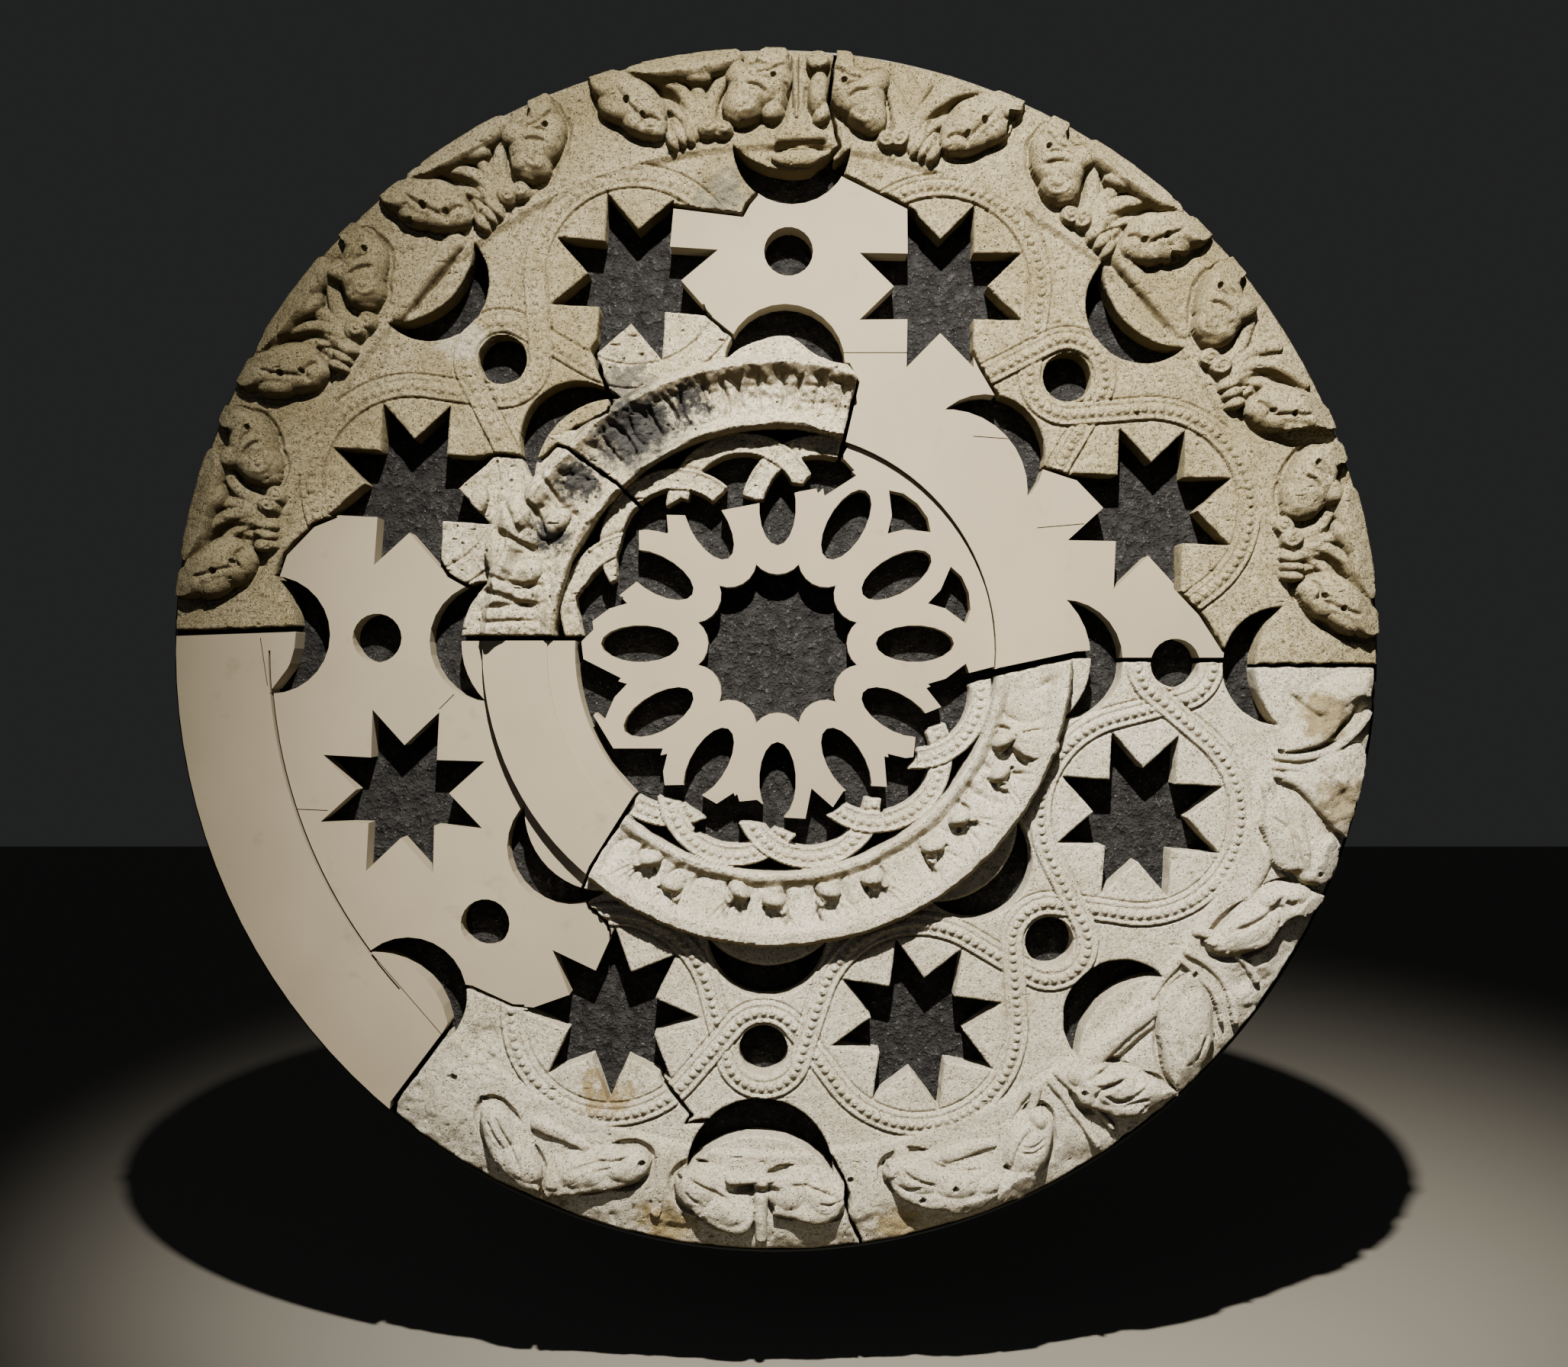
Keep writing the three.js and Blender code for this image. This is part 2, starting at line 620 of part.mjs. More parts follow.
// A disc outside the ring board stays clear of the board beside it
const discRoom = joinAll([4, 5].map((bay) =>
  prism(circle(polar(innerDisc.distance, bayAngle(bay)), innerDisc.radius + 1, 48), ...through)));

const stone = stonePattern();
const boards = boardPattern(boardDepth);
const cornerBoards = boardPattern(cornerBoardDepth);
const borderBoards = boardPattern(borderBoardDepth);

const pieces = {};
for (const [name, outline] of Object.entries(outlines)) {
  pieces[name] = fragment(stone, outline);
}
pieces.fill_upper_right = fragment(cornerBoards, boardOutlines.fill_upper_right);
pieces.fill_left_tracery = mainBody(fragment(boards, boardOutlines.fill_left_tracery)
  .subtract(discRoom)
  .subtract(prism(circle([0, 0], ringOuter + ringBoardRoom + 2, 96), ...through)));
pieces.fill_left_border = fragment(borderBoards, boardOutlines.fill_left_border);
pieces.fill_left_ring = fragment(ringBoardPattern(), boardOutlines.fill_left_ring);
pieces.fill_wheel = fillWheel();
for (const name of Object.keys(seams)) {
  const depth = { fill_upper_right: cornerBoardDepth, fill_left_tracery: boardDepth }[name] ?? borderBoardDepth;
  pieces[name] = seamed(name, pieces[name], depth);
}
pieces.back_plate = prism(circle([0, 0], plateRadius, 72), 0, plateThickness);
pieces.rim_hoop = prism(circle([0, 0], plateRadius + fitGap + hoopThickness, 72), 0, hoopDepth,
  [circle([0, 0], plateRadius + fitGap, 72)]);

// Finishes, as plain values for each kind of piece
const finishes = {
  granite: { color: 0xc6bda4, roughness: 0.93, metalness: 0 },
  fill: { color: 0xc0b6a3, roughness: 0.82, metalness: 0 },
  back: { color: 0x2b2b2d, roughness: 0.9, metalness: 0 },
  rim: { color: 0x141414, roughness: 0.5, metalness: 0.6 },
};

function asMesh(name, body) {
  const { vertProperties, triVerts } = body.getMesh();
  const geometry = new THREE.BufferGeometry();
  geometry.setAttribute('position', new THREE.BufferAttribute(new Float32Array(vertProperties), 3));
  geometry.setIndex(new THREE.BufferAttribute(new Uint32Array(triVerts), 1));
  geometry.computeVertexNormals();
  const mesh = new THREE.Mesh(geometry, new THREE.MeshStandardMaterial(finishes[name.split('_')[0]]));
  mesh.name = name;
  return mesh;
}

const roseWindow = new THREE.Group();
for (const [name, body] of Object.entries(pieces)) {
  roseWindow.add(asMesh(name, body));
}
roseWindow.rotation.x = Math.PI / 2;

export default roseWindow;
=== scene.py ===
"""A round window of carved granite, completed by plain painted boards, on a dark round backing."""
import math

import bmesh
import bpy
import numpy as np
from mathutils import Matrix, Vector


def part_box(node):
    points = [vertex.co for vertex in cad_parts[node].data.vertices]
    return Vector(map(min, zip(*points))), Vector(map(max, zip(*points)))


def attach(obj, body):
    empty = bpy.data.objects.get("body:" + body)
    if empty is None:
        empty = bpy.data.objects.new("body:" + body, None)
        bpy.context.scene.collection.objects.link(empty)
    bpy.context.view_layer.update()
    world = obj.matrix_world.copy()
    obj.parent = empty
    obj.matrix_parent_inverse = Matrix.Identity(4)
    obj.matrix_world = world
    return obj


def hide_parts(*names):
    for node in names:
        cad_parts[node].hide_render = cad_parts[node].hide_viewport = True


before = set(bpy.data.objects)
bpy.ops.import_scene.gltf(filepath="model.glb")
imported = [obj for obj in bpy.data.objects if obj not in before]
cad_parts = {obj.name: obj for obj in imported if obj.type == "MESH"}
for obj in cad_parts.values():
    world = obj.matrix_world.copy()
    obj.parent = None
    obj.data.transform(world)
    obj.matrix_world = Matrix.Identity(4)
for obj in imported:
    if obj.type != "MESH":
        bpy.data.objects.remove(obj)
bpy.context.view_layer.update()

# View: straight at the window from the middle of the room, a little below its centre, far
# enough back that the whole round stands in the photograph's frame. In metres, apart from
# the film. The width of the frame is that in the plane of the carving.
view_distance = 4.25
view_side = 0.016
view_height = -0.066
carving_plane = -0.11
frame_width = 3.129
film_width = 36.0

camera_data = bpy.data.cameras.new("camera")
camera_data.sensor_width = film_width
camera_data.lens = film_width * (view_distance + carving_plane) / frame_width
camera = bpy.data.objects.new("camera", camera_data)
camera.location = (view_side, -view_distance, view_height)
camera.rotation_euler = (math.radians(90), 0, 0)
bpy.context.scene.collection.objects.link(camera)
bpy.context.scene.camera = camera

# Backing plate: a round board that carries every stone and every fill board. Its thick
# charcoal coat is trowelled rough and full of sand, and drinks the light in the openings.


def linear(text):
    """An sRGB hex colour as linear red, green, blue and 1."""
    parts = [int(text[i:i + 2], 16) / 255 for i in (1, 3, 5)]
    return tuple(c / 12.92 if c <= 0.04045 else ((c + 0.055) / 1.055) ** 2.4 for c in parts) + (1.0,)


def add(material, kind, links=(), output=None, **settings):
    """Adds a node, sets its sockets and options by name, and joins (socket, output) pairs.
    Gives the named output, or the node itself."""
    node = material.node_tree.nodes.new(kind)
    for key, value in settings.items():
        if hasattr(node, key):
            setattr(node, key, value)
        else:
            node.inputs[key.replace("_", " ")].default_value = value
    for socket, source in links:
        material.node_tree.links.new(source, node.inputs[socket])
    return node.outputs[output] if output else node


def new_finish(name, roughness, specular=0.5):
    """A material with its surface shader and its places on the object."""
    material = bpy.data.materials.new(name)
    material.use_nodes = True
    shader = material.node_tree.nodes["Principled BSDF"]
    shader.inputs["Roughness"].default_value = roughness
    shader.inputs["Specular IOR Level"].default_value = specular
    return material, shader, add(material, "ShaderNodeTexCoord", output="Object")


def tint(material, factor, first, second, start, end):
    """Passes from the first colour to the second where factor runs from start to end. Each
    colour is a hex text or an output."""
    step = add(material, "ShaderNodeMapRange", [("Value", factor)])
    step.inputs["From Min"].default_value = start
    step.inputs["From Max"].default_value = end
    mix = add(material, "ShaderNodeMix", data_type="RGBA")
    material.node_tree.links.new(step.outputs["Result"], mix.inputs["Factor"])
    for socket, colour in ((mix.inputs[6], first), (mix.inputs[7], second)):
        if isinstance(colour, str):
            socket.default_value = linear(colour)
        else:
            material.node_tree.links.new(colour, socket)
    return mix.outputs[2]


# Charcoal coat: pigmented plaster with sand, dead matt and nearly black. Its tone carries
# painted shade in the hollows between the lumps and painted light on their tops, grey grit,
# and pale points of painted highlight where grains of sand would catch the lamp. Sizes in
# millimetres, with the finest sand drawn coarser than it is so that it shows; depths in metres.
coat_sand, coat_lump, coat_grit, coat_painted_glint = 6.25, 29.4, 11.76, 4.17
charcoal, shader, place = new_finish("charcoal_sand_coat", 0.85, 0.12)
sand, lumps, grit, painted_glints = [
    add(charcoal, "ShaderNodeTexNoise", [("Vector", place)], "Fac", Scale=1000 / size,
        Detail=detail, Roughness=rough)
    for size, detail, rough in ((coat_sand, 3, 0.6), (coat_lump, 5, 0.6), (coat_grit, 2, 0.6),
                                (coat_painted_glint, 2, 0.5))]
# Painted shade between the lumps and painted light on their tops.
coat = tint(charcoal, lumps, "#151516", "#2A2A2B", 0.35, 0.65)
coat = tint(charcoal, grit, coat, "#434344", 0.6, 0.78)
# Painted highlights: pale points standing for sand grains that catch the lamp.
coat = tint(charcoal, painted_glints, coat, "#6C6C70", 0.68, 0.75)
charcoal.node_tree.links.new(coat, shader.inputs["Base Color"])
rough_face = add(charcoal, "ShaderNodeBump", [("Height", lumps)], "Normal", Strength=1.0, Distance=0.012)
for height, depth in ((grit, 0.012), (sand, 0.004)):
    rough_face = add(charcoal, "ShaderNodeBump", [("Height", height), ("Normal", rough_face)], "Normal",
                     Strength=1.0, Distance=depth)
charcoal.node_tree.links.new(rough_face, shader.inputs["Normal"])
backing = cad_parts["back_plate"]
backing.data.materials.clear()
backing.data.materials.append(charcoal)

# Rim: a thin hoop of flat steel, bent close round the edge of the backing plate and painted
# black. It stands forward of the plate.

# Millimetres from here on, turned to metres as each mesh is made
MM = 0.001
hoop_gap = 0.3
hoop_corner = 1.2
hoop_steps = 240
plate_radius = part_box("back_plate")[1][0] / MM
hoop_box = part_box("rim_hoop")


def hoop_mesh(inner, outer, depth):
    """A ring turned from a flat bar: a closed profile of distance and depth, with small
    rounded corners, carried round the window's axis in equal steps."""
    edge = hoop_corner
    corner = np.linspace(0, math.pi / 2, 4)
    profile = []
    for cx, cy, turn in ((outer - edge, -edge, 0), (inner + edge, -edge, 90),
                         (inner + edge, -depth + edge, 180), (outer - edge, -depth + edge, -90)):
        angle = math.radians(turn) + corner
        profile.append(np.stack([cx + edge * np.cos(angle), cy + edge * np.sin(angle)], 1))
    r, y = np.concatenate(profile).T
    turn = np.linspace(0, 2 * math.pi, hoop_steps, endpoint=False)
    points = np.stack([np.outer(np.cos(turn), r), np.tile(y, (hoop_steps, 1)),
                       np.outer(np.sin(turn), r)], 2)
    n = len(r)
    i, j = np.meshgrid(np.arange(hoop_steps), np.arange(n), indexing="ij")
    i2, j2 = (i + 1) % hoop_steps, (j + 1) % n
    faces = np.stack([i * n + j, i * n + j2, i2 * n + j2, i2 * n + j], 2).reshape(-1, 4)
    mesh = bpy.data.meshes.new("steel_hoop")
    mesh.from_pydata((points.reshape(-1, 3) * MM).tolist(), [], faces.tolist())
    work = bmesh.new()
    work.from_mesh(mesh)
    bmesh.ops.recalc_face_normals(work, faces=work.faces)
    work.to_mesh(mesh)
    work.free()
    mesh.shade_smooth()
    mesh.set_sharp_from_angle(angle=math.radians(35))
    return mesh


# Black paint on steel: satin, with the faint waves of a brushed coat.
brush_wave = 16.7
rim_black, shader, place = new_finish("black_painted_steel", 0.42)
shader.inputs["Base Color"].default_value = linear("#0E0E0F")
brushed = add(rim_black, "ShaderNodeTexNoise", [("Vector", place)], "Fac", Scale=1000 / brush_wave,
              Detail=3, Roughness=0.6)
brushed = add(rim_black, "ShaderNodeBump", [("Height", brushed)], "Normal", Strength=0.4, Distance=0.0006)
rim_black.node_tree.links.new(brushed, shader.inputs["Normal"])
hoop = bpy.data.objects.new(
    "steel_hoop", hoop_mesh(plate_radius + hoop_gap, hoop_box[1][0] / MM, -hoop_box[0][1] / MM))
bpy.context.scene.collection.objects.link(hoop)
hoop.data.materials.append(rim_black)
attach(hoop, "root")
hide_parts("rim_hoop")

# Granite fragments: six pieces of one carved window, hewn and pierced with stars, round
# holes and crescents, under a border of leaves. Coarse stone, worn soft, with broken ends,
# set flat against the backing plate.

# Sizes in millimetres and degrees, heights from the front of the plate. The tracery repeats
# in bays: a star, a round hole, and crescents between an arc and a disc, each of which is
# a distance from the centre and a radius.
window_radius = 1200.0
bays = 8
tracery_turn = -1.8
motif_radius = 798.0
star_tip, star_notch = 175.0, 93.0
star_twists = (0, 1.6, -2.6, -1.6, -0.5, 22, -6.6, -1.9)
hole_radius = 49.0
inner_arc, inner_disc = (573.0, 120.0), (466.0, 163.0)
outer_arc, outer_disc = (1010.0, 118.0), (1127.0, 169.0)
wide_arc, wide_disc, wide_bay = (1041.0, 146.0), (1160.0, 190.0), 6
tracery_height = 80.0
border_height = 88.0
border_inner = 1003.0
ring_inner, ring_outer = 442.0, 582.0
band_height = 68.0
band_count, band_distance, band_radius, band_width = 12, 290.0, 155.0, 44.0
band_seat = 20.0


def polar(distance, degrees):
    """The place at a distance and an angle from the centre of the window."""
    return (distance * math.cos(math.radians(degrees)), distance * math.sin(math.radians(degrees)))


def bay_angle(bay):
    """The direction of the round hole of a bay; its star stands half a bay on."""
    return 360 / bays * bay + tracery_turn


def star_room(x, z, bay):
    """Distance inside the eight-pointed star of a bay: the point is folded into one
    half-point by its angle, and measured to the line from tip to notch."""
    cx, cz = polar(motif_radius, bay_angle(bay + 0.5))
    turn = math.radians(bay_angle(bay + 0.5) + star_twists[bay])
    half = math.pi / 8
    away = np.hypot(x - cx, z - cz)
    fold = np.abs((np.arctan2(z - cz, x - cx) - turn + half) % (2 * half) - half)
    nx, nz = star_notch * math.cos(half), star_notch * math.sin(half)
    side = (nx - star_tip) * (away * np.sin(fold)) - nz * (away * np.cos(fold) - star_tip)
    return side / math.hypot(nx - star_tip, nz)


def crescent_room(x, z, bay, arc, disc):
    """Distance inside a crescent: within the arc's circle and outside the disc's circle."""
    ax, az = polar(arc[0], bay_angle(bay))
    dx, dz = polar(disc[0], bay_angle(bay))
    return np.minimum(arc[1] - np.hypot(x - ax, z - az), np.hypot(x - dx, z - dz) - disc[1])


def opening_room(x, z):
    """Distance inside the nearest opening of the tracery, negative on solid parts."""
    room = np.full(x.shape, -1e3)
    for bay in range(bays):
        hx, hz = polar(motif_radius, bay_angle(bay))
        wide = bay == wide_bay
        room = np.maximum(room, star_room(x, z, bay))
        room = np.maximum(room, hole_radius - np.hypot(x - hx, z - hz))
        room = np.maximum(room, crescent_room(x, z, bay, inner_arc, inner_disc))
        room = np.maximum(room, crescent_room(x, z, bay, wide_arc if wide else outer_arc,
                                              wide_disc if wide else outer_disc))
    return room


def outline_room(x, z, corners):
    """Distance inside a closed outline: the least distance to its sides, positive where a
    ray to the right crosses the outline an odd number of times."""
    corners = np.asarray(corners, float)
    nearest = np.full(x.shape, 1e9)
    odd = np.zeros(x.shape, bool)
    for (ax, az), (bx, bz) in zip(corners, np.roll(corners, -1, 0)):
        ex, ez = bx - ax, bz - az
        t = np.clip(((x - ax) * ex + (z - az) * ez) / (ex * ex + ez * ez + 1e-9), 0, 1)
        nearest = np.minimum(nearest, (x - ax - t * ex) ** 2 + (z - az - t * ez) ** 2)
        if az != bz:
            crosses = (z < az) != (z < bz)
            odd ^= crosses & (x < ax + (z - az) * ex / ez)
    return np.where(odd, 1, -1) * np.sqrt(nearest)


def band_room(x, z):
    """Distance inside the overlapping arc bands within the inner ring."""
    room = np.full(x.shape, -1e3)
    for band in range(band_count):
        bx, bz = polar(band_distance, 360 / band_count * (band + 0.5) + tracery_turn)
        away = np.hypot(x - bx, z - bz)
        room = np.maximum(room, np.minimum(band_radius - away, away - band_radius + band_width))
    return room


def stone_room(x, z):
    """Distance inside the whole stone pattern: pierced slab, inner ring and arc bands."""
    away = np.hypot(x, z)
    slab = np.minimum(np.minimum(window_radius - away, away - ring_inner), -opening_room(x, z))
    ring = np.minimum(away - ring_inner, ring_outer - away)
    bands = np.minimum(band_room(x, z), ring_inner + band_seat - away)
    return np.maximum(np.maximum(slab, ring), bands)


strap_width = 44.0
strap_star, strap_hole = 200.0, 76.0
strap_lift = 6.0
bead_pitch, bead_radius = 17.6, 7.3
strap_bevel = 2.5
strap_bead_rise = 6.5
channel_from_middle, channel_half, channel_depth = 11.5, 4.0, 3.0
groove_out, groove_half, groove_depth = 2.0, 4.0, 4.5


def strap_fields(x, z):
    """For each of the two strands: signed distance from its middle line, and length along
    it. A strand runs in arcs round the stars and the round holes and straight between them,
    along the common inner tangents of the two circles."""
    gap = 2 * motif_radius * math.sin(math.radians(90 / bays))
    spread = math.degrees(math.acos((strap_star + strap_hole) / gap))
    toward = 90 + 90 / bays
    outer, inner = toward - spread, 180 - toward - spread
    straight = math.sqrt(gap**2 - (strap_star + strap_hole) ** 2)
    fields = []
    for side in (1, -1):
        across = np.full(x.shape, 1e3)
        along = np.zeros(x.shape)
        length = 0.0
        runs = []
        for bay in range(bays):
            hole_sweep = outer if side > 0 else -inner
            star_sweep = -inner if side > 0 else outer
            runs.append((polar(motif_radius, bay_angle(bay)), strap_hole,
                         bay_angle(bay) + (0 if side > 0 else 180), hole_sweep))
            runs.append((polar(motif_radius, bay_angle(bay + 0.5)), strap_star,
                         bay_angle(bay + 0.5) + (180 if side > 0 else 0), star_sweep))
        ends = []
        for (cx, cz), radius, facing, sweep in runs:
            away = np.hypot(x - cx, z - cz)
            angle = (np.degrees(np.arctan2(z - cz, x - cx)) - facing + 180) % 360 - 180
            mine = (np.abs(angle) <= abs(sweep)) & (np.abs(away - radius) < np.abs(across))
            turn = 1 if sweep > 0 else -1
            across[mine] = (turn * (away - radius))[mine]
            along[mine] = (length + radius * np.radians(turn * angle + abs(sweep)))[mine]
            length += radius * math.radians(2 * abs(sweep))
            first = [c + radius * s for c, s in zip((cx, cz), polar(1, facing - sweep))]
            last = [c + radius * s for c, s in zip((cx, cz), polar(1, facing + sweep))]
            ends.append((first, last, length))
            length += straight
        for (_, (ax, az), start), ((bx, bz), _, _) in zip(ends, ends[1:] + ends[:1]):
            ex, ez = (bx - ax) / straight, (bz - az) / straight
            t = (x - ax) * ex + (z - az) * ez
            off = (x - ax) * ez - (z - az) * ex
            mine = (t > 0) & (t < straight) & (np.abs(off) < np.abs(across))
            across[mine] = off[mine]
            along[mine] = (start + t)[mine]
        pitch = length / round(length / bead_pitch)
        fields.append((across, along / pitch))
    return fields


def strap_relief(x, z, crisp):
    """Height of the interlaced straps above the slab. Each strap is a raised band with a
    bead row; in each sector between a star and a hole one strand lies over the other.
    Straps and beads are lower where the stone is less crisp."""
    (cross_a, along_a), (cross_b, along_b) = strap_fields(x, z)
    sector = np.floor((np.degrees(np.arctan2(z, x)) - tracery_turn) / (180 / bays)).astype(int)
    a_over = sector % 2 == 0
    over = np.where(a_over, cross_a, cross_b)
    under = np.where(a_over, cross_b, cross_a)
    over_along = np.where(a_over, along_a, along_b)
    under_along = np.where(a_over, along_b, along_a)

    def strap(across, along):
        edge = strap_width / 2 - np.abs(across)
        lift = (0.35 + 0.65 * crisp) * strap_lift * np.clip(edge / strap_bevel, 0, 1)
        slip = ((along + 0.5) % 1 - 0.5) * bead_pitch
        ball = np.clip(1 - (slip**2 + across**2) / bead_radius**2, 0, 1)
        channel = np.clip(1 - np.abs(np.abs(across) - channel_from_middle) / channel_half, 0, 1)
        return lift + crisp * (strap_bead_rise * np.sqrt(ball) - channel_depth * channel), edge

    top, top_edge = strap(over, over_along)
    low, low_edge = strap(under, under_along)
    groove = -groove_depth * np.clip(1 - np.abs(top_edge + groove_out) / groove_half, 0, 1)
    low_groove = -groove_depth * np.clip(1 - np.abs(low_edge + groove_out) / groove_half, 0, 1)
    relief = np.where(low_edge > 0, low - 1.0, low_groove)
    return np.where(top_edge > 0, top, relief + groove)


def grain_noise(x, z, size, seed):
    """Smooth noise from 0 to 1: random values on a square lattice of the given size in
    millimetres, blended between its corners by 3t squared minus 2t cubed."""
    table = np.random.default_rng(seed).random((256, 256))
    u, v = x / size + 31.7, z / size + 57.3
    i, j = np.floor(u).astype(int), np.floor(v).astype(int)
    s, t = u - i, v - j
    s, t = s * s * (3 - 2 * s), t * t * (3 - 2 * t)
    i0, i1, j0, j1 = i & 255, (i + 1) & 255, j & 255, (j + 1) & 255
    low = table[i0, j0] * (1 - s) + table[i1, j0] * s
    high = table[i0, j1] * (1 - s) + table[i1, j1] * s
    return low * (1 - t) + high * t


def wear_noise(x, z, size, octaves, seed):
    """Sum of noises, each half as large and half as strong as the last, from -1 to 1."""
    total, weight, scale = 0.0, 0.0, 1.0
    for octave in range(octaves):
        total = total + scale * (2 * grain_noise(x, z, size / 2**octave, seed + octave) - 1)
        weight += scale
        scale *= 0.5
    return total / weight


class Spot:
    """A place on the border with its own axes: out along the radius, and on round the rim
    in the way that the leaves run. Distances in millimetres from a node of the stem."""

    def __init__(self, distance, angle, way):
        """Way is 1 where the leaves run against the clock, and -1 where they run with it."""
        self.angle, self.way = angle, way
        self.origin = polar(distance, angle)
        self.out = polar(1, angle)
        self.on = (-way * self.out[1], way * self.out[0])

    def at(self, out, on):
        """The place so far out and so far on."""
        return tuple(o + out * a + on * b for o, a, b in zip(self.origin, self.out, self.on))

    def turned(self, lean):
        """A lean in degrees, from outwards, as an angle in radians."""
        return math.radians(self.angle + self.way * lean)


def lump(h, x, z, spot, out, on, length, width, lean, rise, ground, steep=2.8):
    """Raises an oval lump: rise times the root of 1 minus q to the power steep, where q
    is the distance from its middle as a share of its outline."""
    cx, cz = spot.at(out, on)
    near = np.flatnonzero((np.abs(x - cx) < 0.6 * length) & (np.abs(z - cz) < 0.6 * length))
    c, s = math.cos(spot.turned(lean)), math.sin(spot.turned(lean))
    dx, dz = x[near] - cx, z[near] - cz
    q = np.hypot((dx * c + dz * s) / (length / 2), (dz * c - dx * s) / (width / 2))
    body = ground + rise * np.sqrt(np.clip(1 - q**steep, 0, 1))
    h[near] = np.where(q < 1, np.maximum(h[near], body), h[near])


def run_room(x, z, points):
    """Distance to a run of points and the share of the run's length at the nearest place."""
    points = np.asarray(points, float)
    steps = np.hypot(*np.diff(points, axis=0).T)
    nearest = np.full(x.shape, 1e9)
    share = np.zeros(x.shape)
    run = 0.0
    for (ax, az), (bx, bz), step in zip(points[:-1], points[1:], steps):
        ex, ez = (bx - ax) / step, (bz - az) / step
        t = np.clip((x - ax) * ex + (z - az) * ez, 0, step)
        reach = np.hypot(x - ax - t * ex, z - az - t * ez)
        closer = reach < nearest
        nearest = np.where(closer, reach, nearest)
        share = np.where(closer, (run + t) / steps.sum(), share)
        run += step
    return nearest, share


def smooth_run(points, rounds=2):
    """Cuts the corners of a run of points, a quarter of each side at a time."""
    points = np.asarray(points, float)
    for _ in range(rounds):
        first, second = points[:-1], points[1:]
        cut = np.stack([0.75 * first + 0.25 * second, 0.25 * first + 0.75 * second], 1)
        points = np.concatenate([points[:1], cut.reshape(-1, 2), points[-1:]])
    return points


def rib(h, x, z, spot, run, width, rise, ground):
    """Raises a rounded rib along a run of places, thinner towards its far end."""
    points = smooth_run([spot.at(*place) for place in run])
    low, high = points.min(0) - width, points.max(0) + width
    near = np.flatnonzero((x > low[0]) & (x < high[0]) & (z > low[1]) & (z < high[1]))
    away, share = run_room(x[near], z[near], points)
    q = away / (width / 2 * (1 - 0.35 * share))
    body = ground + rise * (1 - 0.45 * share) * np.sqrt(np.clip(1 - q**2.4, 0, 1))
    h[near] = np.where(q < 1, np.maximum(h[near], body), h[near])


def crease(h, x, z, spot, run, width, depth):
    """Cuts a groove along a run of places, deepest in its middle."""
    points = smooth_run([spot.at(*place) for place in run])
    low, high = points.min(0) - width, points.max(0) + width
    near = np.flatnonzero((x > low[0]) & (x < high[0]) & (z > low[1]) & (z < high[1]))
    away, share = run_room(x[near], z[near], points)
    taper = np.clip(6 * share, 0.3, 1) * np.clip(6 * (1 - share), 0.3, 1)
    h[near] -= depth * taper * np.exp(-((away / (width / 2)) ** 2))


def drill(h, x, z, spot, out, on, radius=5.0, depth=16.0):
    """Sinks a round drilled hole, with a narrow slope at its mouth."""
    cx, cz = spot.at(out, on)
    away = np.hypot(x - cx, z - cz)
    h -= depth * np.clip((radius + 1.5 - away) / 3.0, 0, 1)


def coil(h, x, z, spot, out, on, radius, rise, ground):
    """Raises a round end curled in on itself: a low drum, rise times the root of 1 minus q
    to the fourth, with a groove that follows a cosine of turns and distance."""
    cx, cz = spot.at(out, on)
    near = np.flatnonzero(np.hypot(x - cx, z - cz) < radius)
    dx, dz = x[near] - cx, z[near] - cz
    q = np.hypot(dx, dz) / radius
    wave = np.cos(2 * math.pi * (1.7 * q - spot.way * np.arctan2(dz, dx) / (2 * math.pi)))
    body = rise * np.sqrt(np.clip(1 - q**4, 0, 1)) - 2.4 * (1 - wave) * (q > 0.12)
    h[near] = np.maximum(h[near], ground + body)


def undercut(h, x, z, spot, out, on, length, width, lean, depth):
    """Cuts the ground away round the foot of an oval lump, so that it throws a shadow."""
    cx, cz = spot.at(out, on)
    near = np.flatnonzero((np.abs(x - cx) < 0.7 * length) & (np.abs(z - cz) < 0.7 * length))
    c, s = math.cos(spot.turned(lean)), math.sin(spot.turned(lean))
    dx, dz = x[near] - cx, z[near] - cz
    q = np.hypot((dx * c + dz * s) / (length / 2 + 14), (dz * c - dx * s) / (width / 2 + 14))
    h[near] = np.minimum(h[near], border_height - depth * np.clip((1 - q) / 0.12, 0, 1))


# One unit of leaves, on the axes of its spot. A head or leaf is made of lumps: out, on,
# length, width, lean and rise. A coil has a radius and rise, a crease a width and depth.
tall_head = [
    (72, -126, 142, 98, 114, 52), (44, -94, 84, 84, 112, 48), (30, -76, 46, 56, 112, 36),
    (98, -96, 70, 56, 30, 42), (110, -162, 62, 58, 100, 44),
]
wide_head = [
    (84, 124, 152, 96, 50, 52), (44, 110, 104, 76, 58, 47), (112, 158, 106, 70, 52, 48),
    (24, 92, 56, 48, 62, 38), (72, 152, 92, 60, 50, 45), (140, 180, 52, 42, 60, 38),
]
outer_leaf = [
    (136, -52, 104, 56, 96, 38), (140, 0, 132, 70, 92, 45), (140, 50, 118, 60, 90, 43),
    (134, 96, 84, 42, 84, 34), (116, -6, 70, 40, 80, 32),
]
stem_ribs = [
    [(4, -14), (40, -22), (84, -40), (120, -84)], [(8, -6), (50, -10), (96, -6), (128, 6)],
    [(12, 2), (52, 4), (92, 26), (120, 60), (136, 98)], [(4, 12), (34, 18), (60, 40), (74, 66)],
]
stem_circle, unit_reach, unit_middle = 1038.0, 270.0, 1.07
stem_width, stem_rise = 36, 21
head_undercut = 11
hand_drift, hand_size = 6.0, 52
collar_lobes = [(2, 20), (0, 38), (-6, 56)]
outer_holes = [(143, 28), (146, -34)]
unit_coils = [(10, -20, 23, 34), (2, -44, 20, 31), (133, -168, 25, 45), (42, -98, 36, 49)]
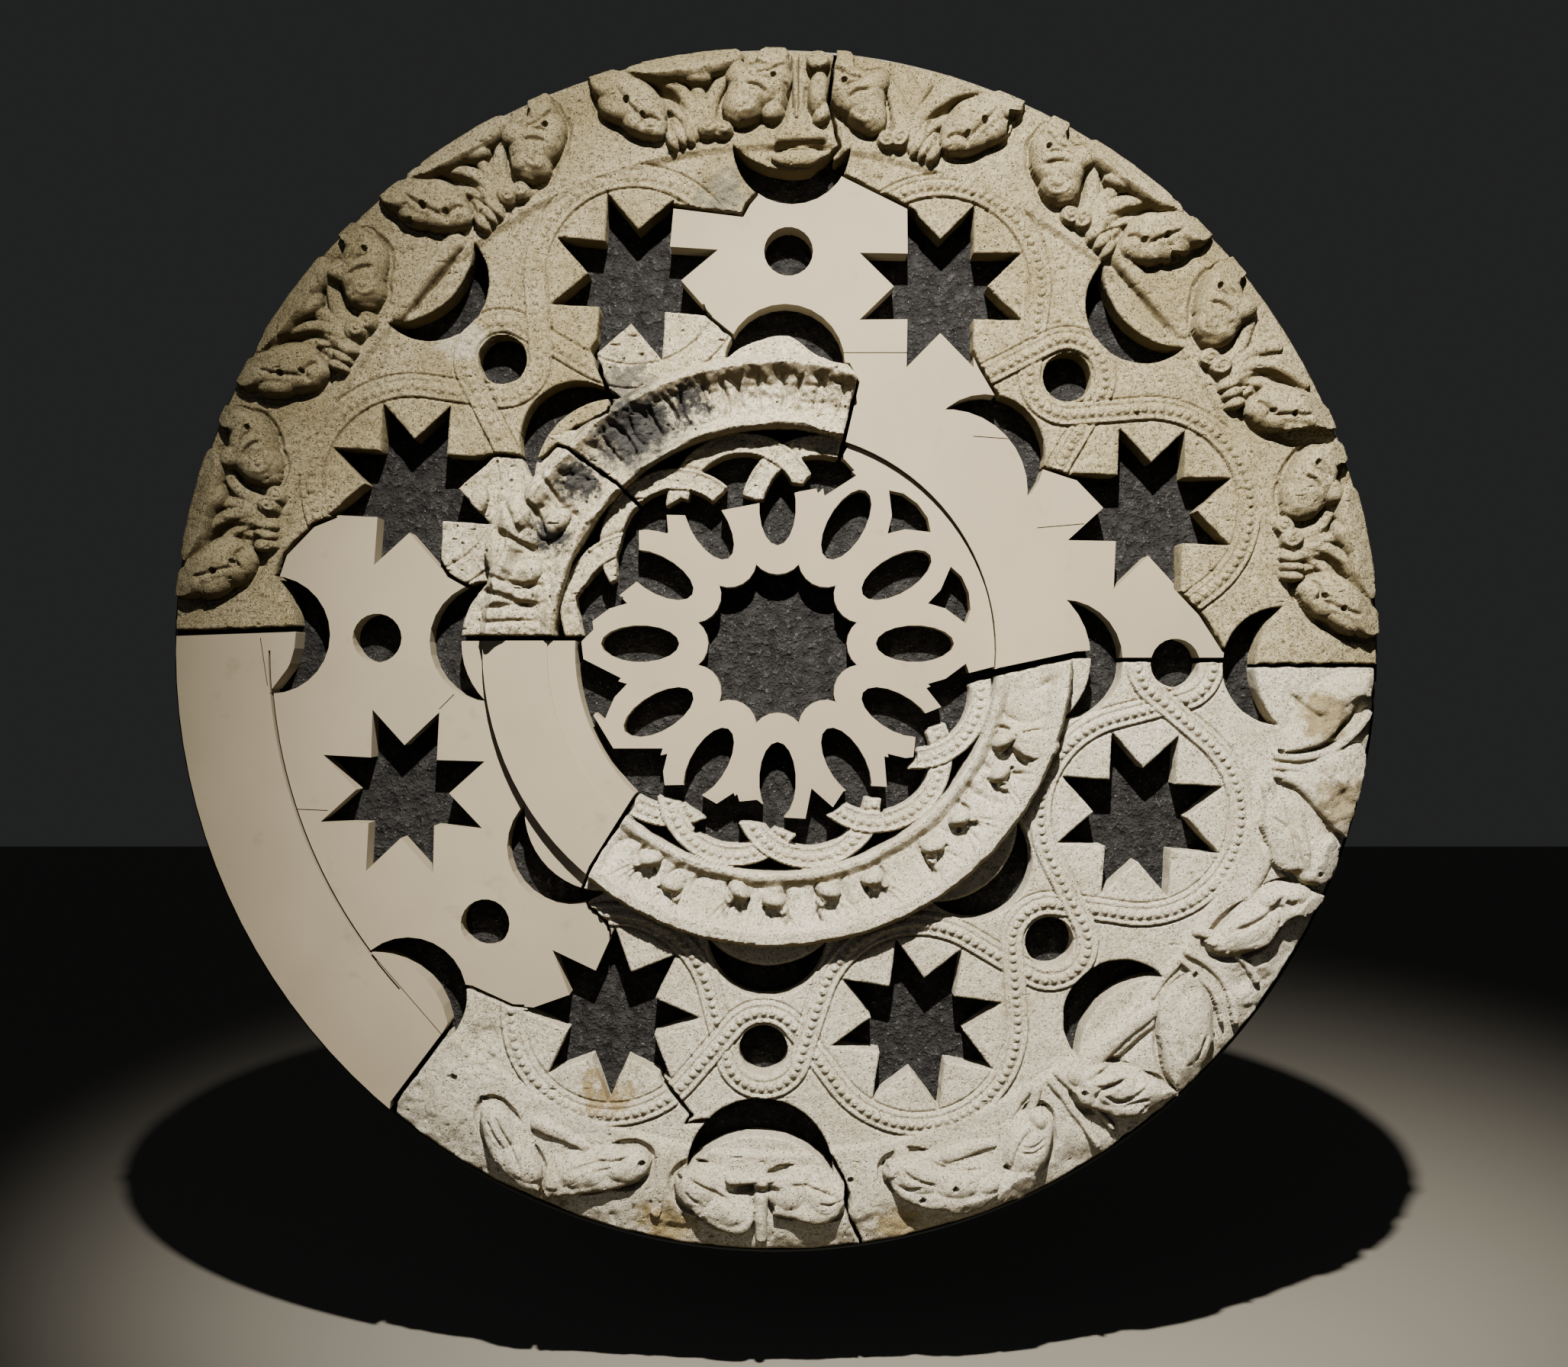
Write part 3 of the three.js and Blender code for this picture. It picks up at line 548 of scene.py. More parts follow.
unit_creases = [
    ([(78, -98), (70, -124), (50, -140)], 9, 10),
    ([(98, -104), (90, -132), (70, -154)], 8, 7),
    ([(108, -186), (94, -150), (102, -114)], 9, 9),
    ([(26, 70), (42, 86), (40, 104), (24, 112)], 10, 14),
    ([(30, 112), (56, 122), (92, 150), (126, 160)], 9, 8),
    ([(30, 30), (66, 34), (100, 62), (124, 104), (138, 142)], 14, 18),
    ([(124, 164), (140, 166), (150, 182), (140, 198), (126, 192)], 8, 8),
]
unit_holes = [(84, -156), (46, 106), (78, 136), (140, 176)]


def upper_border(h, x, z, node_angle, way, leafed, turn):
    """One unit of the upper border. Ribbed stems spring from a node, a tall head hangs
    before it and a wide head follows it, and most units have a long leaf near the rim.
    The hand of the carver moves every outline a little from unit to unit."""
    spot = Spot(stem_circle, node_angle, way)
    g = border_height
    mx, mz = spot.origin[0] * unit_middle, spot.origin[1] * unit_middle
    near = np.flatnonzero(np.hypot(x - mx, z - mz) < unit_reach)
    whole, h = h, h[near]
    sway = hand_drift * wear_noise(x[near], z[near], hand_size, 2, 300 + turn)
    x, z = x[near] + sway, z[near] - hand_drift * wear_noise(x[near], z[near], hand_size, 2, 340 + turn)
    heads = wide_head + tall_head
    for out, on, length, width, lean, rise in heads + (outer_leaf if leafed else []):
        undercut(h, x, z, spot, out, on, length, width, lean, head_undercut)
    for run in stem_ribs:
        rib(h, x, z, spot, run, stem_width, stem_rise, g - 4)
    if leafed:
        for out, on, length, width, lean, rise in outer_leaf:
            lump(h, x, z, spot, out, on, length, width, lean, rise, g)
        for out, on in outer_holes:
            drill(h, x, z, spot, out, on)
    for out, on, length, width, lean, rise in heads:
        lump(h, x, z, spot, out, on, length, width, lean, rise - 2, g)
    for out, on in collar_lobes:
        lump(h, x, z, spot, out, on, 46, 24, 10, 30, g)
    for out, on, radius, rise in unit_coils:
        coil(h, x, z, spot, out, on, radius, rise, g)
    for run, width, depth in unit_creases:
        crease(h, x, z, spot, run, width, depth)
    for out, on in unit_holes:
        drill(h, x, z, spot, out, on, 5.5, 18)
    whole[near] = h


def shelf(h, x, z, inner, edge, rise, ground, lip=17.0):
    """Raises a leaf that grows smoothly out of the ground along its inner run and ends in a
    rounded lip along its edge run, where it stands free of the ground."""
    inner, edge = smooth_run(inner), smooth_run(edge)
    outline = np.concatenate([inner, edge[::-1]])
    low, high = outline.min(0), outline.max(0)
    near = np.flatnonzero((x > low[0]) & (x < high[0]) & (z > low[1]) & (z < high[1]))
    near = near[outline_room(x[near], z[near], outline) > 0]
    start, _ = run_room(x[near], z[near], inner)
    end, _ = run_room(x[near], z[near], edge)
    swell = np.sin(0.5 * math.pi * (start / (start + end + 1e-6)) ** 0.8)
    curl = lip - np.sqrt(lip**2 - np.clip(lip - end, 0, lip) ** 2)
    h[near] = np.maximum(h[near], ground + rise * swell - curl)


# Leaves of the lower border as they survive. Each has an inner run, where it leaves the
# ground, an edge run, where it stands free, and its rise there. A lump is a middle, length,
# width, turn and rise; a rib a run, width and rise; a crease a run, width and depth.
lower_leaves = [
    ([(1004, -193), (1016, -150), (1040, -101), (1079, -57), (1118, -40), (1183, -38)],
     [(1007, -204), (1045, -201), (1084, -191), (1118, -159), (1135, -116), (1159, -94),
      (1186, -92)], 34),
    ([(1006, -237), (1055, -222), (1118, -198), (1171, -179), (1179, -237), (1157, -305)],
     [(1005, -265), (1035, -276), (1064, -305), (1094, -339), (1112, -358), (1137, -373)], 30),
    ([(977, -276), (1016, -281), (1060, -305), (1094, -353), (1118, -392)],
     [(962, -349), (977, -387), (989, -431), (1016, -443), (1040, -438), (1064, -455), (1089, -465),
      (1111, -455), (1120, -421)], 46),
    ([(851, -578), (909, -523), (958, -470), (1016, -455), (1064, -475), (1094, -489)],
     [(865, -589), (909, -599), (948, -599), (982, -584), (996, -555), (1026, -528), (1064, -531),
      (1094, -499)], 46),
    ([(831, -644), (854, -655), (869, -702), (875, -760), (860, -824), (831, -859), (802, -883)],
     [(822, -641), (767, -679), (755, -731), (761, -778), (776, -836), (802, -883)], 44),
    ([(598, -865), (644, -830), (703, -818), (744, -848), (802, -880)],
     [(589, -877), (609, -906), (650, -918), (691, -932), (732, -923), (761, -900), (802, -888)], 46),
    ([(528, -913), (481, -918), (446, -941), (435, -993), (423, -1052), (440, -1098)],
     [(535, -911), (552, -932), (551, -964), (537, -999), (519, -1040), (487, -1081),
      (449, -1101)], 44),
    ([(222, -1020), (295, -993), (368, -996), (431, -1008), (441, -1076)],
     [(215, -1028), (229, -1061), (246, -1090), (290, -1110), (334, -1112), (373, -1124), (416, -1105),
      (441, -1081)], 44),
    ([(4, -1066), (23, -1027), (72, -1020), (111, -1032), (137, -1066)],
     [(-6, -1124), (33, -1130), (72, -1144), (115, -1136), (137, -1105), (141, -1076)], 42),
    ([(-186, -1042), (-152, -1020), (-93, -1027), (-59, -1061), (-45, -1105)],
     [(-192, -1048), (-182, -1086), (-166, -1115), (-142, -1134), (-108, -1156), (-69, -1170),
      (-45, -1144), (-42, -1112)], 42),
    ([(-268, -1007), (-302, -985), (-360, -980), (-418, -995), (-457, -1019), (-467, -1068)],
     [(-263, -1014), (-275, -1044), (-302, -1068), (-341, -1075), (-379, -1080), (-418, -1085),
      (-452, -1090)], 42),
    ([(-583, -900), (-535, -917), (-486, -951), (-474, -1014), (-472, -1068)],
     [(-589, -893), (-586, -942), (-578, -985), (-554, -1019), (-525, -1053), (-501, -1074),
      (-472, -1073)], 42),
]
lower_lumps = [
    (1032, -392, 130, 74, 118, 42), (1074, -440, 74, 58, 20, 40), (1092, -392, 60, 44, 60, 34),
    (938, -556, 158, 84, 32, 42), (1012, -494, 116, 56, 12, 40), (888, -582, 60, 44, 10, 34),
    (816, -762, 214, 104, 84, 48), (664, -868, 146, 92, 158, 48), (722, -884, 110, 64, 8, 42),
    (622, -884, 62, 50, 120, 40), (498, -990, 132, 96, 70, 48), (486, -1050, 96, 60, 62, 40),
    (522, -934, 52, 42, 110, 42), (282, -1046, 120, 84, 156, 46), (352, -1060, 132, 76, 176, 44),
    (420, -1064, 60, 46, 30, 36), (232, -1034, 44, 36, 60, 38), (24, -1080, 90, 84, 120, 42),
    (92, -1090, 98, 76, 150, 42), (-158, -1070, 96, 84, 130, 44), (-100, -1116, 112, 72, 160, 42),
    (-300, -1026, 104, 76, 20, 44), (-380, -1042, 126, 70, 8, 42), (-438, -1058, 54, 44, 40, 34),
    (-552, -950, 112, 66, 116, 44), (-512, -1018, 116, 68, 132, 42), (1106, -120, 120, 70, 40, 26),
    (1120, -252, 130, 90, 120, 20),
]
lower_ribs = [
    ([(598, -848), (656, -789), (714, -743), (755, -714)], 44, 20),
    ([(999, -210), (1045, -215), (1108, -201), (1157, -159), (1181, -125)], 22, 14),
    ([(998, -232), (1045, -236), (1090, -262), (1118, -290), (1150, -330)], 20, 16),
    ([(996, -248), (1030, -262), (1062, -292), (1090, -326), (1114, -352)], 17, 20),
    ([(985, -262), (994, -300), (1012, -330)], 16, 16),
    ([(972, -272), (978, -310), (990, -346)], 15, 14),
    ([(977, -402), (958, -451), (938, -489)], 40, 16),
    ([(838, -560), (880, -570), (935, -620), (960, -660)], 20, 12),
    ([(820, -600), (868, -626), (905, -680), (915, -740)], 20, 15),
    ([(806, -618), (838, -646), (872, -680), (886, -735)], 17, 20),
    ([(800, -622), (772, -650), (752, -690)], 18, 12),
    ([(560, -842), (600, -880), (640, -920), (672, -950)], 18, 12),
    ([(548, -856), (580, -900), (610, -940), (640, -985)], 18, 13),
    ([(520, -872), (512, -905), (500, -925)], 22, 16),
    ([(500, -872), (480, -905), (468, -930)], 20, 13),
    ([(341, -1006), (387, -991), (429, -981)], 34, 20),
    ([(-472, -942), (-428, -966), (-379, -988)], 34, 20),
    ([(-30, -1060), (-30, -1110), (-30, -1168)], 34, 30),
    ([(-91, -1050), (-40, -1052), (11, -1050)], 24, 36),
    ([(250, -1000), (240, -1040), (250, -1100)], 30, 10),
    ([(-225, -1000), (-228, -1050), (-240, -1120)], 34, 10),
]
lower_creases = [
    ([(620, -852), (688, -815), (726, -780), (762, -750)], 13, 16),
    ([(-96, -1072), (-40, -1074), (16, -1070)], 15, 18),
    ([(854, -765), (842, -798), (830, -822)], 8, 12),
    ([(790, -700), (800, -760), (812, -830)], 8, 5),
    ([(480, -992), (505, -996), (532, -980)], 7, 6),
    ([(482, -980), (508, -984), (534, -966)], 7, 5),
    ([(650, -880), (680, -900), (720, -880), (740, -860)], 9, 10),
    ([(630, -862), (668, -866), (690, -850)], 8, 8),
    ([(236, -1058), (262, -1070), (292, -1064)], 7, 6),
    ([(82, -1096), (106, -1101), (136, -1090)], 7, 6),
    ([(-180, -1070), (-168, -1088), (-150, -1096)], 7, 6),
    ([(-576, -930), (-560, -962), (-540, -985)], 8, 8),
    ([(1000, -500), (1004, -530), (996, -550)], 12, 14),
    ([(1012, -495), (1020, -506), (1034, -498)], 10, 12),
    ([(980, -330), (1010, -350), (1036, -384)], 8, 6),
    ([(1050, -330), (1060, -380), (1062, -430)], 9, 8),
    ([(-300, -1010), (-330, -1030), (-360, -1034)], 8, 7),
    ([(300, -1010), (330, -1030), (372, -1036), (410, -1030)], 10, 9),
    ([(250, -1030), (280, -1052), (320, -1062)], 9, 8),
    ([(508, -950), (490, -968), (474, -1000), (470, -1040)], 10, 10),
    ([(700, -850), (672, -858), (640, -872), (632, -896)], 10, 11),
    ([(690, -905), (712, -896), (744, -892)], 8, 8),
    ([(900, -560), (940, -548), (986, -520), (1010, -480)], 11, 12),
    ([(1010, -300), (1024, -350), (1030, -400), (1048, -434)], 10, 11),
    ([(-560, -920), (-546, -950), (-524, -984), (-506, -1030)], 10, 11),
    ([(-284, -1000), (-316, -1016), (-364, -1018), (-410, -1034)], 10, 10),
    ([(-176, -1046), (-150, -1062), (-110, -1082), (-76, -1110)], 10, 10),
    ([(20, -1060), (52, -1064), (90, -1072), (120, -1086)], 10, 10),
    ([(1030, -90), (1060, -120), (1092, -140)], 10, 10),
]
lower_holes = [(1081, -446), (534, -914), (458, -1029), (836, -646), (-192, -1047), (149, -1056),
               (217, -1027), (-587, -895), (-265, -1017), (612, -878), (1004, -203), (290, -1092),
               (355, -1068), (-642, -852)]
lower_undercut = 15
lower_drift, lower_drift_size = 3.0, 48


def lower_border(h, x, z):
    """Worn leaves of the lower half, with the ribs that feed them, their folds and holes."""
    g = border_height
    here = Spot(0, 0, 1)
    for cx, cz, length, width, turn, rise in lower_lumps:
        undercut(h, x, z, here, cx, cz, length, width, turn, lower_undercut)
    sway = lower_drift * wear_noise(x, z, lower_drift_size, 2, 400)
    x, z = x + sway, z - lower_drift * wear_noise(x, z, lower_drift_size, 2, 440)
    for run, width, rise in lower_ribs:
        rib(h, x, z, here, run, width, rise, g - 2)
    for inner, edge, rise in lower_leaves:
        shelf(h, x, z, inner, edge, 0.7 * rise, g - 2)
    for cx, cz, length, width, turn, rise in lower_lumps:
        lump(h, x, z, here, cx, cz, length, width, turn, 0.92 * rise, g - 4, 2.3)
    for run, width, depth in lower_creases:
        crease(h, x, z, here, run, width, depth)
    for out, on in lower_holes:
        drill(h, x, z, here, out, on, 5.5, 20)


# Heights of the inner ring over its distance from the centre: carved where it is sound,
# and deeply hollowed behind a thin outer lip where it has weathered.
ring_steps = (442, 450, 458, 472, 500, 530, 546, 556, 566, 574, 582, 590)
sound_ring = (106, 114, 112, 98, 101, 110, 120, 134, 148, 152, 138, 112)
hollow_ring = (112, 124, 120, 103, 99, 107, 118, 132, 144, 143, 118, 100)
flutes, flute_depth = 54, 11.0
hollow_from, hollow_to, hollow_slope = 462, 562, 16
lip_from, lip_slope = 560, 10


def frieze_relief(x, z, wear, seed, profile):
    """Height of the inner ring: an inner lip, a fluted hollow, and a heavy outer lip that
    stands forward over it, with flutes that start and end at uneven places."""
    away = np.hypot(x, z) + 1.5 + wear * 4.5 * wear_noise(x, z, 42, 3, seed)
    angle = np.degrees(np.arctan2(z, x)) % 360
    h = np.interp(away, ring_steps, profile)
    hollow = np.clip((away - hollow_from) / hollow_slope, 0, 1)
    hollow = hollow * np.clip((hollow_to - away) / hollow_slope, 0, 1)
    sway = 1.6 * np.sin((away - 460) / 30) + 2.4 * wear_noise(x, z, 90, 2, seed + 7)
    flute = np.abs(np.sin(np.radians(angle + sway) * flutes / 2))
    cut = np.clip(grain_noise(x, z, 60, seed + 12) * 1.8 - 0.3, 0, 1)
    h = h - flute_depth * hollow * cut * (1 - flute) ** 2.2
    lip = np.clip((away - lip_from) / lip_slope, 0, 1)
    return h + (wear * 4.5 * (0.35 + hollow) + 4.0 * lip) * wear_noise(x, z, 26, 3, seed + 2)


# Each bud is a distance and an angle.
ring_buds = [(484, 238.9), (509, 246), (483, 261.3), (497, 269.6), (489, 282.2), (492, 293),
             (499, 308.7), (494, 317.7), (507, 331.2), (485, 338.4)]


def bud_row(h, x, z):
    """Buds in the hollow of the ring, each a knob on a bent stalk, with fine grooves that
    fan out from it to the lip."""
    for i, (distance, angle) in enumerate(ring_buds):
        spot = Spot(distance, angle, 1 if i % 2 else -1)
        rib(h, x, z, spot, [(0, 6), (22, 20), (46, 22), (70, 10)], 18, 24, 102)
        for end in (-34, -12, 34, 52):
            crease(h, x, z, spot, [(18, 0.3 * end), (44, 0.7 * end), (70, end)], 7, 6)
        lump(h, x, z, spot, 0, 0, 50, 33, 50 + 37 * i % 80, 38, 100, 2.2)
        lump(h, x, z, spot, 14, 16, 34, 22, 20, 24, 102)
        crease(h, x, z, spot, [(-20, 20), (0, 26), (24, 12)], 8, 10)
        drill(h, x, z, spot, 16, -20, 4.0, 12)
    leaf = Spot(556, 339.8, 1)
    lump(h, x, z, leaf, -6, 0, 92, 60, 20, 50, 104)
    crease(h, x, z, leaf, [(-44, -6), (-8, 2), (30, 6)], 9, 12)


# Folds of the eroded left end of the ring, and the angles of the cracks in its top.
ring_lumps = [
    (-470, 316, 104, 50, 62, 44), (-440, 252, 80, 46, 40, 36), (-520, 262, 110, 58, 70, 34),
    (-548, 190, 96, 60, 100, 30), (-500, 150, 80, 50, 30, 26), (-590, 300, 60, 34, 80, 14),
]
ring_folds = [
    ([(-600, 122), (-540, 108), (-478, 81)], 12, 13), ([(-588, 78), (-520, 92), (-463, 91)], 12, 14),
    ([(-585, 152), (-515, 128), (-450, 128)], 11, 12), ([(-590, 52), (-530, 58), (-470, 58)], 10, 9),
    ([(-560, 240), (-510, 214), (-470, 190)], 13, 18), ([(-500, 300), (-470, 268), (-452, 220)], 12, 18),
    ([(-470, 350), (-440, 310), (-424, 282)], 12, 14), ([(-540, 300), (-520, 250), (-500, 220)], 11, 12),
]
ring_cracks = [76, 80.5, 84, 89, 93.5, 97, 102, 105.5, 110, 114, 117.5, 122, 126, 129]


def weathered_ring(h, x, z):
    """Eroded leaf folds on the left of the ring and upright cracks in its top."""
    here = Spot(0, 0, 1)
    for cx, cz, length, width, turn, rise in ring_lumps:
        lump(h, x, z, here, cx, cz, length, width, turn, rise, 98, 2.2)
    for run, width, depth in ring_folds:
        crease(h, x, z, here, run, width, depth)
    for i, angle in enumerate(ring_cracks):
        bend = (-1.4, 0.6, 1.8)[i % 3]
        crack = [polar(466 + 9 * (i % 2), angle), polar(508, angle + bend), polar(552, angle)]
        crease(h, x, z, here, crack, 9, 11)


def band_relief(h, x, z, crisp):
    """Arc bands within the ring, each one lapped over the next, with a raised border on
    either side and a row of beads between."""
    for band in range(band_count):
        bx, bz = polar(band_distance, 360 / band_count * (band + 0.5) + tracery_turn)
        away = np.hypot(x - bx, z - bz)
        room = np.minimum(band_radius - away, away - band_radius + band_width)
        middle = band_radius - band_width / 2
        across = away - middle
        slip = ((np.arctan2(z - bz, x - bx) * middle / bead_pitch) % 1 - 0.5) * bead_pitch
        ball = np.sqrt(np.clip(1 - (slip**2 + across**2) / bead_radius**2, 0, 1))
        rail = 3.2 * np.clip(1 - np.abs(room - 4.5) / 4.5, 0, 1)
        face = band_height + rail + crisp * 5 * ball
        lapped = h - 5 * np.clip(1 + room / 7, 0, 1)
        h[:] = np.where(room > 0, face, np.where(room > -7, lapped, h))


# The top of the window, where a leaf stands over the highest crescent, and the ridges of
# the leaves over the two crescents beside it.
top_lumps = [
    (0, 1108, 84, 44, 96, 38), (-6, 1072, 52, 46, 40, 34), (84, 1108, 90, 42, 84, 38),
    (92, 1066, 52, 34, 60, 32), (48, 984, 116, 40, 2, 14),
]
top_foot = [(30, 1080), (52, 1080), (69, 1052), (106, 1028), (100, 1012), (-2, 1008), (-4, 1024),
            (16, 1056)]
top_foot_rise = 15
top_stem = [(38, 1178), (39, 1120), (41, 1060)]
top_creases = [
    ([(-12, 998), (48, 996), (108, 1002)], 14, 20),
    ([(18, 1130), (22, 1100), (14, 1066)], 10, 16),
    ([(62, 1130), (58, 1100), (68, 1066)], 10, 16),
]
top_coils = [(-13, 1174, 26, 46), (84, 1168, 24, 46)]
disc_ridges = [
    ([(676, 792), (712, 749), (764, 690), (812, 633)], 44, 22),
    ([(-640, 812), (-676, 774), (-718, 722), (-755, 669)], 44, 22),
]
disc_creases = [
    ([(666, 770), (700, 730), (750, 672), (796, 620)], 12, 12),
    ([(-628, 792), (-660, 752), (-702, 704), (-738, 656)], 12, 12),
]


def spread_foot(h, x, z, outline, rise, ground, slope=8.0):
    """Raises a flat field within an outline, with sloping sides."""
    room = outline_room(x, z, outline)
    body = ground + rise * np.clip(room / slope, 0, 1) ** 0.7
    h[:] = np.where(room > 0, np.maximum(h, body), h)


def disc_leaves(h, x, z):
    """Leaves that cross the discs of the upper crescents: a stem between two volutes over a
    spreading foot and a deep slot at the top, and a sharp ridge across the disc on each side."""
    here = Spot(0, 0, 1)
    g = border_height
    top = np.flatnonzero((x > -60) & (x < 160) & (z > 930))
    part, px, pz = h[top], x[top], z[top]
    for cx, cz, length, width, turn, rise in top_lumps:
        lump(part, px, pz, here, cx, cz, length, width, turn, rise, g)
    spread_foot(part, px, pz, top_foot, top_foot_rise, g)
    rib(part, px, pz, here, top_stem, 17, 40, g)
    for run, width, depth in top_creases:
        crease(part, px, pz, here, run, width, depth)
    for cx, cz, radius, rise in top_coils:
        coil(part, px, pz, here, cx, cz, radius, rise, g)
    h[top] = part
    for run, width, rise in disc_ridges:
        rib(h, x, z, here, run, width, rise, g - 6)
    for run, width, depth in disc_creases:
        crease(h, x, z, here, run, width, depth)


# Places where the face has broken away, each a middle and two half widths.
spalls = [(-104, 912, 78, 50), (1092, -132, 76, 60), (1128, -300, 60, 80), (250, -1146, 80, 34),
          (-222, -1142, 90, 34), (-470, -1090, 60, 40), (700, -960, 90, 40), (960, -680, 60, 70),
          (-560, -780, 90, 60)]

# Towards the rim the ground falls away, and the carving stands no higher than a limit. Both
# are lower where the leaves are worn.
rim_steps = (1090, 1150, 1200)
sound_limit, worn_limit = (150, 136, 98), (140, 124, 86)
fall_from, sound_fall, worn_fall = 1110.0, 12, 26
chipped_from = 1090.0
strap_to = 1030.0
rounding = 5.0


def carved_height(x, z, edge, crisp, upper_nodes, lower, wear, seed):
    """Front of a stone fragment: the highest of slab with straps, leafed border, inner ring
    and arc bands, with the edge rounded over and the whole surface roughened by noise."""
    away = np.hypot(x, z)
    h = np.full(x.shape, tracery_height)
    field = (away > ring_outer - 30) & (away < strap_to)
    h[field] += strap_relief(x[field], z[field], crisp)
    border = np.clip((away - border_inner + 6) / 12, 0, 1)
    h = h * (1 - border) + border * border_height
    fall = np.clip((away - fall_from) / (window_radius - fall_from), 0, 1) ** 1.5
    h = h - fall * (worn_fall if lower else sound_fall)
    for turn, (node_angle, way, leafed) in enumerate(upper_nodes):
        upper_border(h, x, z, node_angle, way, leafed, turn)
    if upper_nodes:
        disc_leaves(h, x, z)
    if lower:
        lower_border(h, x, z)
    for cx, cz, long, wide in spalls:
        spalled = np.clip(1.4 - np.hypot((x - cx) / long, (z - cz) / wide), 0, 1)
        h = h + spalled * (13 * wear_noise(x, z, 36, 3, seed + 17) - 4)
    bands = away < ring_inner + 14
    inner = np.full(bands.sum(), band_height - 4)
    band_relief(inner, x[bands], z[bands], crisp)
    h[bands] = inner
    ring = (away >= ring_inner) & (away <= ring_outer + 8)
    profile = sound_ring if lower else hollow_ring
    floor = np.where(away[ring] > ring_outer, h[ring], 0)
    h[ring] = np.maximum(frieze_relief(x[ring], z[ring], wear, seed, profile), floor)
    if lower:
        bud_row(h, x, z)
    elif not upper_nodes:
        weathered_ring(h, x, z)
    if lower:
        h = h + 7 * np.clip((away - chipped_from) / 40, 0, 1) * wear_noise(x, z, 48, 3, seed + 31)
    h = np.minimum(h, np.interp(away, rim_steps, worn_limit if lower else sound_limit))
    rough = wear * (2.4 * wear_noise(x, z, 60, 3, seed + 5) + 2.2 * wear_noise(x, z, 15, 2, seed + 9))
    pits = -5.0 * wear * np.clip(grain_noise(x, z, 9, seed + 21) - 0.86, 0, 1) / 0.14
    inset = np.clip(rounding - edge, 0, rounding)
    arris = rounding - np.sqrt(np.clip(rounding**2 - inset**2, 0, None))
    return h + rough + pits - arris


plate_front = -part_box("back_plate")[0][1] / MM
back_gap = 0.35
sharp_angle = 55


def pierced_face(inside, low, high, cell):
    """Triangles of a square grid cut at the line where inside(x, z) is nought. Each grid
    triangle is kept, dropped or cut at the crossings on its edges, found by straight
    interpolation. Returns x, z, inside value, triangles and the edges of the cut line."""
    xs = np.arange(low[0] - cell, high[0] + 2 * cell, cell)
    zs = np.arange(low[1] - cell, high[1] + 2 * cell, cell)
    gx, gz = np.meshgrid(xs, zs, indexing="ij")
    f = inside(gx.ravel(), gz.ravel()).reshape(gx.shape)
    f[0, :] = f[-1, :] = -1.0
    f[:, 0] = f[:, -1] = -1.0
    sign = f > 0
    node = np.full(f.shape, -1)
    node[sign] = np.arange(sign.sum())
    px, pz, pf = [gx[sign]], [gz[sign]], [f[sign]]
    count = int(sign.sum())
    crossings = []
    for di, dj in ((1, 0), (0, 1), (1, 1)):
        a = (slice(0, f.shape[0] - di), slice(0, f.shape[1] - dj))
        b = (slice(di, f.shape[0]), slice(dj, f.shape[1]))
        cut = sign[a] != sign[b]
        t = np.clip(f[a][cut] / (f[a][cut] - f[b][cut]), 0.08, 0.92)
        px.append(gx[a][cut] + t * (gx[b][cut] - gx[a][cut]))
        pz.append(gz[a][cut] + t * (gz[b][cut] - gz[a][cut]))
        pf.append(np.zeros(cut.sum()))
        table = np.full(f.shape, -1)
        table[a][cut] = count + np.arange(cut.sum())
        count += int(cut.sum())
        crossings.append(table)
    across, up, slant = crossings
    here = (slice(0, -1), slice(0, -1))
    right = (slice(1, None), slice(0, -1))
    above = (slice(0, -1), slice(1, None))
    far = (slice(1, None), slice(1, None))
    halves = (
        (node[here], node[right], node[far], across[here], up[right], slant[here]),
        (node[here], node[far], node[above], slant[here], across[above], up[here]),
    )
    triangles, edges = [], []
    for p0, p1, p2, e01, e12, e20 in halves:
        code = (p0 >= 0) + 2 * (p1 >= 0) + 4 * (p2 >= 0)
        whole = code == 7
        triangles.append(np.stack([p0[whole], p1[whole], p2[whole]], 1))
        turns = ((1, p0, p1, e01, e12, e20), (2, p1, p2, e12, e20, e01), (4, p2, p0, e20, e01, e12))
        for bit, corner, after, leave, opposite, enter in turns:
            one = code == bit
            triangles.append(np.stack([corner[one], leave[one], enter[one]], 1))
            edges.append(np.stack([leave[one], enter[one]], 1))
            two = code == 7 - {1: 4, 2: 1, 4: 2}[bit]
            triangles.append(np.stack([corner[two], after[two], opposite[two]], 1))
            triangles.append(np.stack([corner[two], opposite[two], enter[two]], 1))
            edges.append(np.stack([opposite[two], enter[two]], 1))
    return (np.concatenate(px), np.concatenate(pz), np.concatenate(pf),
            np.concatenate(triangles), np.concatenate(edges))


